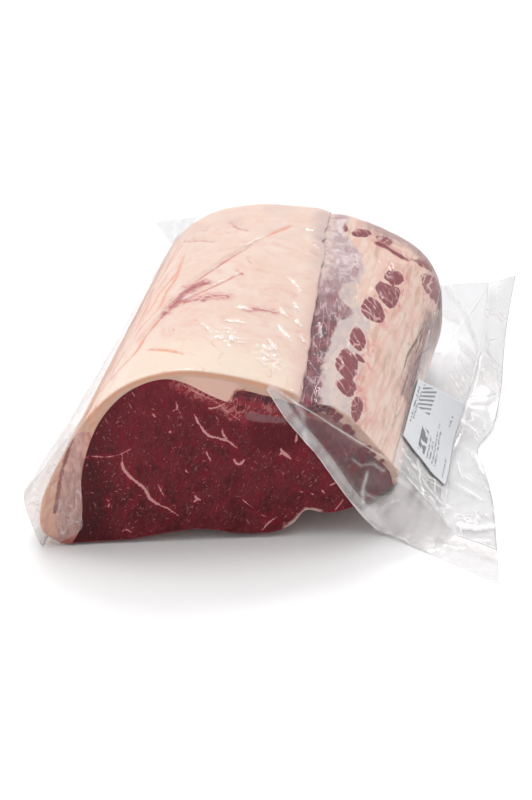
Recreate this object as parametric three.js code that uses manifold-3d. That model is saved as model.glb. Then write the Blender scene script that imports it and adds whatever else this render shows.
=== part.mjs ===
// Raw beef striploin in an opened, clear vacuum bag. Millimetres, +Z up.
// The cut face looks along -Y, the loin runs back along +Y, and the origin is on the
// surface that it lies on, under the middle of the loin.
import * as THREE from 'three';
import Module from 'manifold-3d';
import { mergeVertices } from 'three/addons/utils/BufferGeometryUtils.js';

const wasm = await Module();
wasm.setup();

// Driving dimensions of the loin
const FACE_Y = -115.5;                    // the cut face at the middle of the loin
const FACE_SLOPE = Math.tan(THREE.MathUtils.degToRad(15));   // its right side lies further back
const BACK_Y = 142;                       // the far end
const END_RADIUS = 26;                    // rounding round the far end
const MIDDLE = { across: -4, up: 54 };    // the rounding draws the section in towards this point
const HALF = { across: 104, up: 58 };
const FLOOR_GAP = 1.3;                    // the meat lies on the film, not on the surface below it
const LAYER_GAP = 0.4;                    // between two pieces of meat or fat that touch
const EDGE_GAP = 1.2;                     // between the side muscle's thin left edge and the cap

// Driving dimensions of the bag and the label
const FILM = 0.8;                         // thickness of the bag's wall
const FILM_GAP = 0.8;                     // between the meat and the film drawn tight over it
const LIP = 3;                            // the film's cut edge stands this far in front of the face
const FOLD_GAP = 1.5;                     // and is folded this far in front of it
const HANG_GAP = 2.5;                     // between the face and the film that hangs over it
const JOIN = 1.5;                         // two sheets of film that meet run this far into each other
const FOOT = { right: 6, back: 1, up: 0.1 };  // the film's foot behind the far end
const LABEL = 0.5;                        // thickness of the label

// Steps of the meshes
const LENGTH_STEPS = 8;
const END_ANGLES = [25, 48, 70, 90];
const CORNER_STEP = 6.5;                  // mm between the points along an outline of the meat
const LEVELS = { lean: 6, layer: 2 };     // from the lower to the upper line of a piece
const FILM_STEPS = { fin: 6, cap: 18, muscle: 1, side: 9 };

// Outlines across the loin, as [across, up] points at the cut face and at the far end.
// Each runs from left to right and is a smooth curve through its points.
const OUTLINES = {
  capOuter: {
    front: [[-100, FLOOR_GAP], [-110, 11], [-110, 27], [-102, 50], [-80, 89], [-60, 109],
      [-36, 118], [-14, 117.5], [24, 107], [39, 99.5], [43, 96.5], [42.5, 94]],
    back: [[-96, FLOOR_GAP], [-107, 12], [-109, 27], [-104, 50], [-84, 88], [-62, 106],
      [-36, 114], [-14, 116], [6, 116], [15.5, 115.8], [20, 114.2], [20.5, 112.3]],
  },
  leanUnderCap: {                         // the eye of lean meat under the fat cap
    front: [[-93, FLOOR_GAP], [-88.5, 9], [-85.5, 24], [-85, 47], [-81, 66], [-72, 88], [-56, 106],
      [-37, 113.5], [-26, 111], [-12, 102.5], [1.5, 95.5]],
    back: [[-80, FLOOR_GAP], [-86, 24], [-86, 47], [-82, 64], [-73, 82], [-57, 99],
      [-37, 107], [-26, 108], [-16, 104], [-6, 99]],
  },
  muscleUnderCap: {                       // the small side muscle under the thin end of the cap
    front: [[1.5, 95.5], [5, 103.5], [22, 100], [39.5, 93]],
    back: [[-6, 99], [-3, 107], [8, 111], [18, 111.5]],
  },
  muscleOuter: {                          // where that muscle comes out beside the cap
    front: [[39.5, 93], [44, 91.5], [51, 92.5], [58.5, 91]],
    back: [[18, 111.5], [24, 112.3], [34, 111.8], [46, 108.5]],
  },
  leanUnderMuscle: {
    front: [[1.5, 95.5], [19, 90], [38, 86], [56, 80]],
    back: [[-6, 99], [8, 98], [26, 97], [43, 93]],
  },
  leanUnderSide: {                        // the lean under the fat of the chine side
    front: [[56, 80], [66, 71], [83, 56], [93, 45], [95.5, 36]],
    back: [[43, 93], [60, 88], [78, 77], [88, 54], [86, 8]],
  },
  sideOuter: {
    front: [[59, 91], [68, 84], [77, 73], [86, 61], [94, 50], [98, 42], [98, 35]],
    back: [[46.5, 108.5], [63, 102], [80, 93], [93, 79], [100, 58], [99, 25], [89, 6]],
  },
  underside: {                            // arched and lifted at the cut face, flat behind it
    front: [[-92, FLOOR_GAP], [-60, 2], [-38, 5.5], [-20, 8], [-8, 6.5], [5, 3.4], [28, 4], [37, 9],
      [45, 18.5], [57, 15.8], [71, 18.8], [95.5, 33]],
    back: [[-80, FLOOR_GAP], [-60, FLOOR_GAP], [-22, FLOOR_GAP], [-8, FLOOR_GAP], [19, FLOOR_GAP],
      [33, FLOOR_GAP], [41, FLOOR_GAP], [62, FLOOR_GAP], [84, FLOOR_GAP]],
  },
  fin: {                                  // spare film that stands off the left side
    front: [[-109, 0.7], [-122, 28], [-103.5, 59], [-81.5, 91]],
    back: [[-110, 0.7], [-111, 27], [-106.5, 48], [-86.5, 87]],
  },
};
const UNDERSIDE_FLAT_AT = 0.5;            // share of the length over which the lift dies out
const FIN_REACH = -111;                   // film further left than this is cut back,
const FIN_CUT = 1.1;                      // by this much for each mm that it stands off
const CAP_FROM = 0.42;                    // share of the cap's outline where the fin ends
const CAP_TO = 0.965;                     // the film leaves the cap at its rounded edge
const MUSCLE_FROM = 0.55;
const SIDE_TO = { front: 0.78, back: 0.52 };  // share of the side that the film lies on

// The loose flap of the bag on the right: its seam, its outer edge and its cut front edge
const SEAM = [[134, -88, 3], [124, -54, 4], [123, -22, 4], [122, 16, 5], [124, 45, 7],
  [126, 70, 14], [128, 95, 24], [130, 126, 38], [129, 150, 56]];
const FLAP_EDGE = [[161, -98, 1.2], [153, -43, 1.2], [145, -10, 2], [138, 14, 2], [145, 42, 3],
  [147, 68, 14], [146, 99, 38], [146, 125, 50], [147, 156, 60]];
const FREE_EDGE = [[35, 100], [45, 69], [60, 44], [77, 19], [91, 3]];   // on the cut face
const FREE_CORNERS = [[103, -99, 1.2], [166, -133, 1.2]];               // on the surface below
const HANG_FROM = 33;                     // the film hangs over the face to the right of this
const HANG_ROWS = 3;                      // rows of points in front of the fold
const FREE_SHARE_AT_SIDE = 0.42;          // share of the free edge that hangs before the face
const FLAP_COLUMNS = { toSeam: 5, toEdge: 3 };
const FLAP_ROWS = 20;

// Film folded over the cut face of the tail, up to the lean
const TAIL_FOLD = { top: 66, straightTo: 48, inner: -86, foot: -97, footTo: 12, lowest: 1.5, fromRim: 2 };

// Corner of spare film behind the left shoulder
const EAR = { tip: [-112, 163, 76], blunt: 3, top: 95, bottom: 62, endRow: 2 };

// The label's place on the flap: from the meat to the seam, and from front to back
const LABEL_ACROSS = { from: 0.04, to: 0.97 };
const LABEL_ALONG = { from: 0.17, toAtMeat: 0.48, toAtSeam: 0.56 };
const LABEL_STEPS = { across: 4, along: 8 };
const LABEL_LIFT = { across: 0.8, up: 0.8 };   // clear of the film below it

// The film gathered behind the far right corner
const GUSSET = { steps: 3, forward: 1 };

// The sheet of film under the loin
const BASE = { left: -113, right: 98, setBack: 4, back: 3, columns: 6, riseColumns: 3, rows: 12 };

const COLOURS = { lean: 0x6b1522, fat: 0xe9d2bf, sideMuscle: 0x75384a, sideFat: 0xe2c4ae,
  film: 0xdfe3e6, label: 0xeceef0 };

const lerp = THREE.MathUtils.lerp;

// A smooth curve through a list of [x, y, z] points.
const through = (list) => new THREE.CatmullRomCurve3(
  list.map((xyz) => new THREE.Vector3(...xyz)), false, 'centripetal');

// One outline as a function of the share of its length and of the place along the loin.
function outline({ front, back }) {
  const [near, far] = [front, back].map((points) => through(
    points.map(([across, up]) => [across, 0, up])));
  const steps = Math.max(2, Math.round(near.getLength() / CORNER_STEP));
  return { at: (share, along) => near.getPointAt(share).lerp(far.getPointAt(share), along), steps };
}

const lines = Object.fromEntries(
  Object.entries(OUTLINES).map(([name, points]) => [name, outline(points)]));

// The cross-sections from the cut face to the far end.
const rows = [];
for (let k = 0; k <= LENGTH_STEPS; k++) rows.push({ along: k / LENGTH_STEPS, angle: 0 });
for (const degrees of END_ANGLES) {
  rows.push({ along: 1, angle: THREE.MathUtils.degToRad(degrees) });
}

const faceY = (across) => FACE_Y + FACE_SLOPE * across;

// A point of a cross-section at its place on the loin. Outward is how far it stands off the end.
function place(point, { along, angle }, outward = 0) {
  const inset = END_RADIUS * (1 - Math.cos(angle));
  const across = MIDDLE.across + (point.x - MIDDLE.across) * (1 - inset / HALF.across);
  const up = MIDDLE.up + (point.z - MIDDLE.up) * (1 - inset / HALF.up);
  const y = lerp(faceY(point.x), BACK_Y - END_RADIUS, along)
    + (END_RADIUS + outward) * Math.sin(angle);
  return new THREE.Vector3(across, y, up);
}

// The points of several outlines in a row, shifted to the left of the line by offset.
function chain(parts, along, offset = 0) {
  const points = [];
  parts.forEach(({ line, from, to, steps }, index) => {
    for (let k = index === 0 ? 0 : 1; k <= steps; k++) {
      points.push(line.at(lerp(from, to, k / steps), along));
    }
  });
  return points.map((point, k) => {
    const before = points[Math.max(k - 1, 0)];
    const after = points[Math.min(k + 1, points.length - 1)];
    const tangent = after.clone().sub(before).normalize();
    return point.clone().add(new THREE.Vector3(-tangent.z, 0, tangent.x).multiplyScalar(offset));
  });
}

// The same number of points, evenly along one outline.
function even(line, count, along, offset = 0) {
  return chain([{ line, from: 0, to: 1, steps: count - 1 }], along, offset);
}

// A box whose grid points are moved to where the function puts them.
function mappedBox([across, up, deep], move) {
  const box = new THREE.BoxGeometry(1, 1, 1, across, up, deep);
  box.deleteAttribute('normal');
  box.deleteAttribute('uv');
  const geometry = mergeVertices(box);
  const position = geometry.attributes.position;
  for (let n = 0; n < position.count; n++) {
    const i = Math.round((position.getX(n) + 0.5) * across);
    const j = Math.round((position.getY(n) + 0.5) * up);
    const k = Math.round((position.getZ(n) + 0.5) * deep);
    const point = move(i, j, k);
    position.setXYZ(n, point.x, point.y, point.z);
  }
  return geometry;
}

// A layer of meat or fat between a lower and an upper line, which give their points for a row.
function layer(lower, upper, levels) {
  const low = rows.map((row) => lower(row.along));
  const high = rows.map((row, k) => upper(row.along, low[k].length));
  const last = rows.length - 1;
  return mappedBox([low[0].length - 1, levels, last], (i, j, k) => {
    const row = last - k;
    return place(low[row][i].clone().lerp(high[row][i], j / levels), rows[row]);
  });
}

// A sheet of even thickness over a grid of points, which run left to right and front to back.
// Centred puts half of the thickness on each side of the grid.
function sheet(grid, thickness, centred = false) {
  const wide = grid[0].length - 1;
  const deep = grid.length - 1;
  const near = (i, j) => grid[THREE.MathUtils.clamp(j, 0, deep)][THREE.MathUtils.clamp(i, 0, wide)];
  return mappedBox([wide, deep, 1], (i, j, k) => {
    const rightwards = near(i + 1, j).clone().sub(near(i - 1, j));
    const backwards = near(i, j + 1).clone().sub(near(i, j - 1));
    const normal = rightwards.cross(backwards).normalize();
    return near(i, j).clone().addScaledVector(normal, (centred ? k - 0.5 : k) * thickness);
  });
}

// Several closed geometries joined into one.
function join(geometries) {
  const solids = geometries.map((geometry) => new wasm.Manifold(new wasm.Mesh({
    numProp: 3,
    vertProperties: geometry.attributes.position.array,
    triVerts: new Uint32Array(geometry.index.array),
  })));
  const mesh = solids.reduce((whole, next) => whole.add(next)).getMesh();
  return new THREE.BufferGeometry()
    .setAttribute('position', new THREE.BufferAttribute(mesh.vertProperties, 3))
    .setIndex(new THREE.BufferAttribute(mesh.triVerts, 1));
}

const part = (name, to = 1, from = 0, steps = lines[name].steps) => (
  { line: lines[name], from, to, steps });
const halfGap = LAYER_GAP / 2;

// The eye of lean meat, which runs the whole length.
function leanGeometry() {
  const top = [part('leanUnderCap'), part('leanUnderMuscle'), part('leanUnderSide')];
  return layer(
    (along) => {
      const flat = THREE.MathUtils.smoothstep(along, 0, UNDERSIDE_FLAT_AT);
      return even(lines.underside, chain(top, along).length, flat);
    },
    (along) => chain(top, along, -halfGap),
    LEVELS.lean,
  );
}

// The fat cap with its wedge beside the eye and its tail down the left side.
function capGeometry() {
  return layer(
    (along) => chain([part('leanUnderCap'), part('muscleUnderCap')], along, halfGap),
    (along, count) => even(lines.capOuter, count, along),
    LEVELS.layer,
  );
}

// The flat muscle between the cap and the chine side.
function sideMuscleGeometry() {
  const top = [part('muscleUnderCap'), part('muscleOuter')];
  const inner = (points) => points.map((point, k) => {
    const share = k / (points.length - 1);
    return point.add(new THREE.Vector3(lerp(EDGE_GAP, -halfGap, share), 0, 0));
  });
  return layer(
    (along) => inner(even(lines.leanUnderMuscle, chain(top, along).length, along, halfGap)),
    (along) => inner(chain(top, along, -halfGap)),
    LEVELS.layer,
  );
}

// The fat over the chine side.
function sideFatGeometry() {
  return layer(
    (along) => chain([part('leanUnderSide')], along, halfGap)
      .map((point, k) => (k === 0 ? point.add(new THREE.Vector3(halfGap, 0, 0)) : point)),
    (along, count) => even(lines.sideOuter, count, along),
    LEVELS.layer,
  );
}

// The film's section: up the fin, over the cap and the side muscle and down the chine side.
function filmSection(along) {
  const sideTo = lerp(SIDE_TO.front, SIDE_TO.back, along);
  const fin = chain([part('fin', 1, 0, FILM_STEPS.fin)], along);
  const cap = chain([part('capOuter', CAP_TO, CAP_FROM, FILM_STEPS.cap)], along, FILM_GAP);
  const muscle = chain([part('muscleOuter', 1, MUSCLE_FROM, FILM_STEPS.muscle)], along, FILM_GAP);
  const side = chain([part('sideOuter', sideTo, 0, FILM_STEPS.side)], along, FILM_GAP);
  return [...fin, ...cap.slice(1), ...muscle, ...side.slice(1)];
}

// The film's free edge from the top of the face to the flap's near corner, by share.
function freeEdge(share) {
  const hanging = FREE_EDGE.map(([across, up]) => [across, faceY(across) - HANG_GAP, up]);
  return through([...hanging, ...FREE_CORNERS]).getPointAt(share);
}

// The film's front edge over the tail: its free edge runs down beside the lean.
function tailEdge(up) {
  const rim = lines.capOuter.at(0, 0).x;
  if (up > TAIL_FOLD.straightTo) {
    const share = (up - TAIL_FOLD.straightTo) / (TAIL_FOLD.top - TAIL_FOLD.straightTo);
    return lerp(TAIL_FOLD.inner, rim + TAIL_FOLD.fromRim, share);
  }
  return lerp(TAIL_FOLD.foot, TAIL_FOLD.inner, Math.min(1, up / TAIL_FOLD.footTo));
}

// Points in front of the fold at one column of the skin, from the free edge to the fold.
function beforeFold(fold, k, hanging) {
  const share = k / HANG_ROWS;
  if (hanging !== null) return freeEdge(hanging).lerp(fold, share);
  if (fold.z < TAIL_FOLD.top && fold.x < MIDDLE.across) {
    const inner = tailEdge(fold.z);
    const outer = Math.max(fold.x, FIN_REACH) - FOLD_GAP;
    const across = lerp(inner, outer, k / (HANG_ROWS - 1));
    const y = faceY(across) - HANG_GAP - FOLD_GAP * share;
    return new THREE.Vector3(across, y, Math.max(fold.z, TAIL_FOLD.lowest));
  }
  return fold.clone().add(new THREE.Vector3(0, -LIP * (1 - share), 0));
}

// The film drawn tight over the loin and its far end. Its left edge stays on the surface below.
function skinGrid() {
  const grid = rows.map((row) => filmSection(row.along).map((point, i) => {
    const placed = place(point, row, FILM_GAP);
    placed.y += Math.max(0, FIN_REACH - point.x) * FIN_CUT * (1 - row.along);
    if (i === 0) placed.set(point.x, placed.y, point.z);
    return placed;
  }));
  const first = grid[0];
  first.forEach((point) => { point.y -= FOLD_GAP; });
  const last = first.length - 1;
  const start = first.findIndex((point) => point.x > HANG_FROM);
  const hanging = (i) => (i < start ? null : FREE_SHARE_AT_SIDE * (i - start) / (last - start));
  const front = [];
  for (let k = 0; k < HANG_ROWS; k++) {
    front.push(first.map((fold, i) => beforeFold(fold, k, hanging(i))));
  }
  const end = grid[grid.length - 1];
  const foot = end.map((point, i) => new THREE.Vector3(
    lerp(end[0].x, end[last].x + FOOT.right, i / last), BACK_Y + FILM_GAP + FOOT.back, FOOT.up));
  return [...front, ...grid, foot];
}

// The flap from the meat over the seam to the outer edge, as one row of points.
function flapRow(start, along) {
  const [seam, edge] = [SEAM, FLAP_EDGE].map((points) => through(points).getPoint(along));
  const { toSeam, toEdge } = FLAP_COLUMNS;
  const row = [start];
  for (let k = 1; k <= toSeam; k++) row.push(start.clone().lerp(seam, k / toSeam));
  for (let k = 1; k <= toEdge; k++) row.push(seam.clone().lerp(edge, k / toEdge));
  return row;
}

// The loose flap, which starts on the skin's right edge.
function flapGrid(skin) {
  const last = skin[0].length - 1;
  const starts = skin.slice(HANG_ROWS, HANG_ROWS + LENGTH_STEPS + 2).map((row) => {
    const outward = row[last].clone().sub(row[last - 1]).normalize();
    return row[last].clone().addScaledVector(outward, -JOIN);
  });
  const side = new THREE.CatmullRomCurve3(starts, false, 'centripetal');
  const grid = [];
  for (let k = 0; k <= FLAP_ROWS; k++) {
    grid.push(flapRow(side.getPoint(k / FLAP_ROWS), k / FLAP_ROWS));
  }
  const width = grid[0].length - 1;
  const front = [];
  for (let k = 0; k < HANG_ROWS; k++) {
    front.push(grid[0].map((fold, i) => beforeFold(
      fold, k, lerp(FREE_SHARE_AT_SIDE, 1, i / width))));
  }
  return [...front, ...grid];
}

// The film gathered behind the far right corner closes the flap there.
function gussetGrid(skin, flap) {
  const last = skin[0].length - 1;
  const inner = skin.slice(HANG_ROWS + LENGTH_STEPS + 1).map((row) => row[last]);
  const seam = flap[flap.length - 1][FLAP_COLUMNS.toSeam];
  const floor = new THREE.Vector3(BASE.right, BACK_Y + BASE.back - GUSSET.forward, FILM / 2);
  return inner.map((point, k) => {
    const outer = seam.clone().lerp(floor, k / (inner.length - 1));
    const row = [];
    for (let i = 0; i <= GUSSET.steps; i++) row.push(point.clone().lerp(outer, i / GUSSET.steps));
    return row;
  });
}

// The corner of spare film behind the left shoulder.
function earGrid(skin) {
  const tip = new THREE.Vector3(...EAR.tip);
  const root = skin[HANG_ROWS + LENGTH_STEPS + EAR.endRow]
    .filter((point) => point.x < MIDDLE.across && point.z > EAR.bottom && point.z < EAR.top)
    .map((point) => point.clone().lerp(tip, FILM / 2 / point.distanceTo(tip)));
  const ends = root.map((point, k) => tip.clone()
    .add(new THREE.Vector3(0, 0, EAR.blunt * (k / (root.length - 1) - 1))));
  return [root, ends];
}

// The sheet under the loin, which rises to the seam of the flap.
function baseGrid() {
  const grid = [];
  for (let k = 0; k <= BASE.rows; k++) {
    const along = k / BASE.rows;
    const row = [];
    for (let i = 0; i <= BASE.columns; i++) {
      const across = lerp(BASE.left, BASE.right, i / BASE.columns);
      const front = faceY(across) + BASE.setBack;
      row.push(new THREE.Vector3(across, lerp(front, BACK_Y + BASE.back, along), 0));
    }
    const start = row[row.length - 1];
    const end = through(SEAM).getPoint(along).add(new THREE.Vector3(JOIN, 0, 0));
    for (let i = 1; i <= BASE.riseColumns; i++) row.push(start.clone().lerp(end, i / BASE.riseColumns));
    grid.push(row);
  }
  return grid;
}

// The label lies on the flap, on the side towards the meat.
function labelGeometry(flap) {
  const rowsOfFlap = flap.slice(HANG_ROWS);
  const at = (across, along) => {
    const j = along * FLAP_ROWS;
    const i = across * FLAP_COLUMNS.toSeam;
    const [j0, i0] = [Math.floor(j), Math.floor(i)];
    const corner = (dj, di) => rowsOfFlap[Math.min(j0 + dj, FLAP_ROWS)][i0 + di].clone();
    return corner(0, 0).lerp(corner(1, 0), j - j0)
      .lerp(corner(0, 1).lerp(corner(1, 1), j - j0), i - i0);
  };
  const grid = [];
  const [deep, wide] = [LABEL_STEPS.along, LABEL_STEPS.across];
  for (let j = 0; j <= deep; j++) {
    const row = [];
    for (let i = 0; i <= wide; i++) {
      const to = lerp(LABEL_ALONG.toAtMeat, LABEL_ALONG.toAtSeam, i / wide);
      row.push(at(lerp(LABEL_ACROSS.from, LABEL_ACROSS.to, i / wide), lerp(LABEL_ALONG.from, to, j / deep)));
    }
    grid.push(row);
  }
  return sheet(grid, LABEL).translate(LABEL_LIFT.across, 0, LABEL_LIFT.up);
}

const group = new THREE.Group();

function add(name, geometry, colour, roughness, extra = {}) {
  const material = new THREE.MeshStandardMaterial({ color: colour, roughness, metalness: 0, ...extra });
  const mesh = new THREE.Mesh(geometry, material);
  mesh.name = name;
  group.add(mesh);
}

add('lean', leanGeometry(), COLOURS.lean, 0.45);
add('fat_cap', capGeometry(), COLOURS.fat, 0.5);
add('side_muscle', sideMuscleGeometry(), COLOURS.sideMuscle, 0.45);
add('side_fat', sideFatGeometry(), COLOURS.sideFat, 0.5);

const skin = skinGrid();
const flap = flapGrid(skin);
const bag = join([
  sheet(skin, FILM),
  sheet(flap, FILM, true),
  sheet(baseGrid(), FILM),
  sheet(gussetGrid(skin, flap), FILM, true),
  sheet(earGrid(skin), FILM, true),
]);
add('bag', bag, COLOURS.film, 0.15, { transparent: true, opacity: 0.35 });
add('label', labelGeometry(flap), COLOURS.label, 0.4);

export default group;
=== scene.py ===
"""A raw beef striploin in an opened, clear vacuum bag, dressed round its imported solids."""
import math

import bmesh
import bpy
import numpy as np
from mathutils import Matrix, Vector, geometry


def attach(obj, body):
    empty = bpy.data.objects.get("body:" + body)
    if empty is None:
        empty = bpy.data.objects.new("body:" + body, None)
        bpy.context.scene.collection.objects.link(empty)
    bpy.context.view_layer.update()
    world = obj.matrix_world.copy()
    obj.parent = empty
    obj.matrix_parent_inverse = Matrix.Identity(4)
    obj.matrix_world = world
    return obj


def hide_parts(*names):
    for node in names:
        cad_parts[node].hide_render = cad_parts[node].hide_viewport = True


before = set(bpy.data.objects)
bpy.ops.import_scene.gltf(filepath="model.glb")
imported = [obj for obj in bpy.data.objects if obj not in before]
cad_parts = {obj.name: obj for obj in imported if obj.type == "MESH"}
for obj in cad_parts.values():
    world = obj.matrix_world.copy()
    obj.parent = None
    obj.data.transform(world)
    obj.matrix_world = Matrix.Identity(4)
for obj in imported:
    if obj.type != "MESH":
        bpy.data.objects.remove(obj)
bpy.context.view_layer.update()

MM = 0.001                       # the sizes below are in millimetres

# The loin: the same driving sizes as its solids have
FACE_Y = -115.5                  # the cut face at the middle of the loin
FACE_SLOPE = math.tan(math.radians(15))
BACK_Y = 142.0
END_RADIUS = 26.0
STRAIGHT_END = BACK_Y - END_RADIUS
MIDDLE = (-4.0, 54.0)            # across and up
HALF = (104.0, 58.0)
FLOOR_GAP = 1.3
LAYER_GAP = 0.05                 # between two pieces of meat or fat that touch
SHARP_FROM = 50                  # degrees between two faces that meet at a sharp edge

# The bag's film
FILM = 0.12                      # how thick it is
FILM_GAP = 0.8                   # how far it lies off the meat, in front of the face at the fold, and hanging
FOLD_GAP = 1.5
HANG_GAP = 2.5
CAP_FROM, CAP_TO = 0.42, 0.965   # where it leaves the outlines that it follows: shares of their length
MUSCLE_FROM = 0.55
SIDE_TO = (0.78, 0.52)           # at the front and at the back
FIN_REACH, FIN_CUT = -111.0, 1.1     # the fin is cut back at a slope to the left of this
PAPER = 0.25                     # the label's thickness
LABEL_LIFT = (0.7, 0, 0.9)       # how far it is off the film
VEIN_STEP = 0.45                 # between the points of the cut face that lie along its veins

OUTLINES = {
    "cap_outer": (
        [(-100, FLOOR_GAP), (-110, 11), (-110, 27), (-102, 50), (-80, 89), (-60, 109),
         (-36, 118), (-14, 117.5), (24, 107), (39, 99.5), (43, 96.5), (42.5, 94)],
        [(-96, FLOOR_GAP), (-107, 12), (-109, 27), (-104, 50), (-84, 88), (-62, 106),
         (-36, 114), (-14, 116), (6, 116), (15.5, 115.8), (20, 114.2), (20.5, 112.3)]),
    "lean_under_cap": (
        [(-93, FLOOR_GAP), (-88.5, 9), (-85.5, 24), (-85, 47), (-81, 66), (-72, 88), (-56, 106),
         (-37, 113.5), (-26, 111), (-12, 102.5), (1.5, 95.5)],
        [(-80, FLOOR_GAP), (-86, 24), (-86, 47), (-82, 64), (-73, 82), (-57, 99),
         (-37, 107), (-26, 108), (-16, 104), (-6, 99)]),
    "muscle_under_cap": (
        [(1.5, 95.5), (5, 103.5), (22, 100), (39.5, 93)],
        [(-6, 99), (-3, 107), (8, 111), (18, 111.5)]),
    "muscle_outer": (
        [(39.5, 93), (44, 91.5), (51, 92.5), (58.5, 91)],
        [(18, 111.5), (24, 112.3), (34, 111.8), (46, 108.5)]),
    "lean_under_muscle": (
        [(1.5, 95.5), (19, 90), (38, 86), (56, 80)],
        [(-6, 99), (8, 98), (26, 97), (43, 93)]),
    "lean_under_side": (
        [(56, 80), (66, 71), (83, 56), (93, 45), (95.5, 36)],
        [(43, 93), (60, 88), (78, 77), (88, 54), (86, 8)]),
    "side_outer": (
        [(59, 91), (68, 84), (77, 73), (86, 61), (94, 50), (98, 42), (98, 35)],
        [(46.5, 108.5), (63, 102), (80, 93), (93, 79), (100, 58), (99, 25), (89, 6)]),
    "underside": (
        [(-92, FLOOR_GAP), (-60, 2), (-38, 5.5), (-20, 8), (-8, 6.5), (5, 3.4), (28, 4), (37, 9),
         (45, 18.5), (57, 15.8), (71, 18.8), (95.5, 33)],
        [(-80, FLOOR_GAP), (-60, FLOOR_GAP), (-22, FLOOR_GAP), (-8, FLOOR_GAP), (19, FLOOR_GAP),
         (33, FLOOR_GAP), (41, FLOOR_GAP), (62, FLOOR_GAP), (84, FLOOR_GAP)]),
    "fin": (
        [(-109, 0.7), (-122, 28), (-103.5, 59), (-81.5, 91)],
        [(-110, 0.7), (-111, 27), (-106.5, 48), (-86.5, 87)]),
}
UNDERSIDE_FLAT_AT = 0.5          # the share of the length where the arch under the lean ends

# The flap's lines, from the front to the back
SEAM = [(134, -88, 3), (124, -54, 4), (123, -22, 4), (122, 16, 5), (124, 45, 7),
        (126, 70, 14), (128, 95, 24), (130, 126, 38), (129, 150, 56)]
FLAP_EDGE = [(161, -98, 1.2), (153, -43, 1.2), (145, -10, 2), (138, 14, 2), (145, 42, 3),
             (147, 68, 14), (146, 99, 38), (146, 125, 50), (147, 156, 60)]
FREE_EDGE = [(22, 106), (27, 96), (35, 82), (50, 61), (69, 29), (89, 3)]    # on the cut face
FREE_CORNERS = [(103, -99, 1.2), (166, -133, 1.2)]                          # on the floor
HANG_FROM = 22                   # the film hangs over the face to the right of this
FREE_SHARE_AT_SIDE = 0.45        # the share of the free edge below the end of the fold's straight part
FLAP_ROWS = 170
SEAM_COLUMN = 33                 # the flap's column of points at its seam
EDGE_COLUMN = 58


class Curve:
    """A smooth curve through points, read by the share of its length."""

    def __init__(self, points, per_span=24):
        points = np.asarray(points, float)
        ends = 2 * points[0] - points[1], 2 * points[-1] - points[-2]
        knots = np.vstack([ends[0], points, ends[1]])
        t = np.linspace(0, 1, per_span, endpoint=False)[:, None]
        spans = []
        for x0, x1, x2, x3 in zip(knots, knots[1:], knots[2:], knots[3:]):
            d0, d1, d2 = (np.linalg.norm(b - a) ** 0.5 for a, b in ((x0, x1), (x1, x2), (x2, x3)))
            m1 = ((x1 - x0) / d0 - (x2 - x0) / (d0 + d1) + (x2 - x1) / d1) * d1
            m2 = ((x2 - x1) / d1 - (x3 - x1) / (d1 + d2) + (x3 - x2) / d2) * d1
            spans.append(x1 + m1 * t + (-3 * x1 + 3 * x2 - 2 * m1 - m2) * t ** 2
                         + (2 * x1 - 2 * x2 + m1 + m2) * t ** 3)
        self.line = np.vstack([*spans, points[-1:]])
        steps = np.linalg.norm(np.diff(self.line, axis=0), axis=1)
        self.share = np.concatenate([[0], np.cumsum(steps)])
        self.length = self.share[-1]
        self.share /= self.length

    def at(self, share):
        """The points at these shares of the length."""
        return np.stack([np.interp(share, self.share, c) for c in self.line.T], -1)

    def at_point(self, share):
        """The points at these shares of the number of points."""
        even = np.linspace(0, 1, len(self.line))
        return np.stack([np.interp(share, even, c) for c in self.line.T], -1)


LINES = {name: (Curve(front), Curve(back)) for name, (front, back) in OUTLINES.items()}


def smoothstep(value, low, high):
    """0 at low, 1 at high, and soft between. Low may be the greater one."""
    t = np.clip((np.asarray(value, float) - low) / (high - low), 0, 1)
    return t * t * (3 - 2 * t)


def lerp(a, b, share):
    return a + (b - a) * share


def peak(far, width, power=2):
    """1 where far is 0, and falling off on both sides."""
    return np.exp(-(far / width) ** power)


def face_y(across):
    """Where the slanted cut face is along the loin, at a place across it."""
    return FACE_Y + FACE_SLOPE * across


def section(name, count, along, start=0.0, end=1.0):
    """One outline across the loin: a row of points for each place along it."""
    front, back = LINES[name]
    share = np.linspace(start, end, count)
    return lerp(front.at(share), back.at(share), np.asarray(along)[:, None, None])


def offset(rows, distance):
    """Rows of section points moved to the left of their line."""
    tangent = np.gradient(rows, axis=1)
    tangent /= np.linalg.norm(tangent, axis=2, keepdims=True) + 1e-9
    return rows + np.stack([-tangent[..., 1], tangent[..., 0]], -1) * np.asarray(distance)


def chain(names, step, along, distance=0.0):
    """Whole outlines one after the other, with points about a step apart."""
    parts = []
    for k, name in enumerate(names):
        count = max(3, round(LINES[name][0].length / step) + 1)
        parts.append(section(name, count, along)[:, (1 if k else 0):])
    return offset(np.concatenate(parts, 1), distance)


def resample(rows, count):
    """Each row as the same number of points, evenly along a smooth curve through it."""
    share = np.linspace(0, 1, count)
    return np.stack([Curve(row, 6).at(share) for row in rows])


def loin_rows(step, near_face=(0, 0.2, 0.5, 1, 1.6, 2.6, 4)):
    """Places along the loin and round its far end: shares of the straight length, and angles."""
    straight = STRAIGHT_END - FACE_Y
    near = np.array(near_face) / straight
    rest = np.linspace(near[-1], 1, max(2, round(straight / step)))[1:]
    turns = max(5, round(END_RADIUS * math.pi / 2 / step))
    bend = np.linspace(0, math.pi / 2, turns + 1)[1:]
    along = np.concatenate([near, rest, np.ones(turns)])
    return along, np.concatenate([np.zeros(len(along) - turns), bend])


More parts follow.
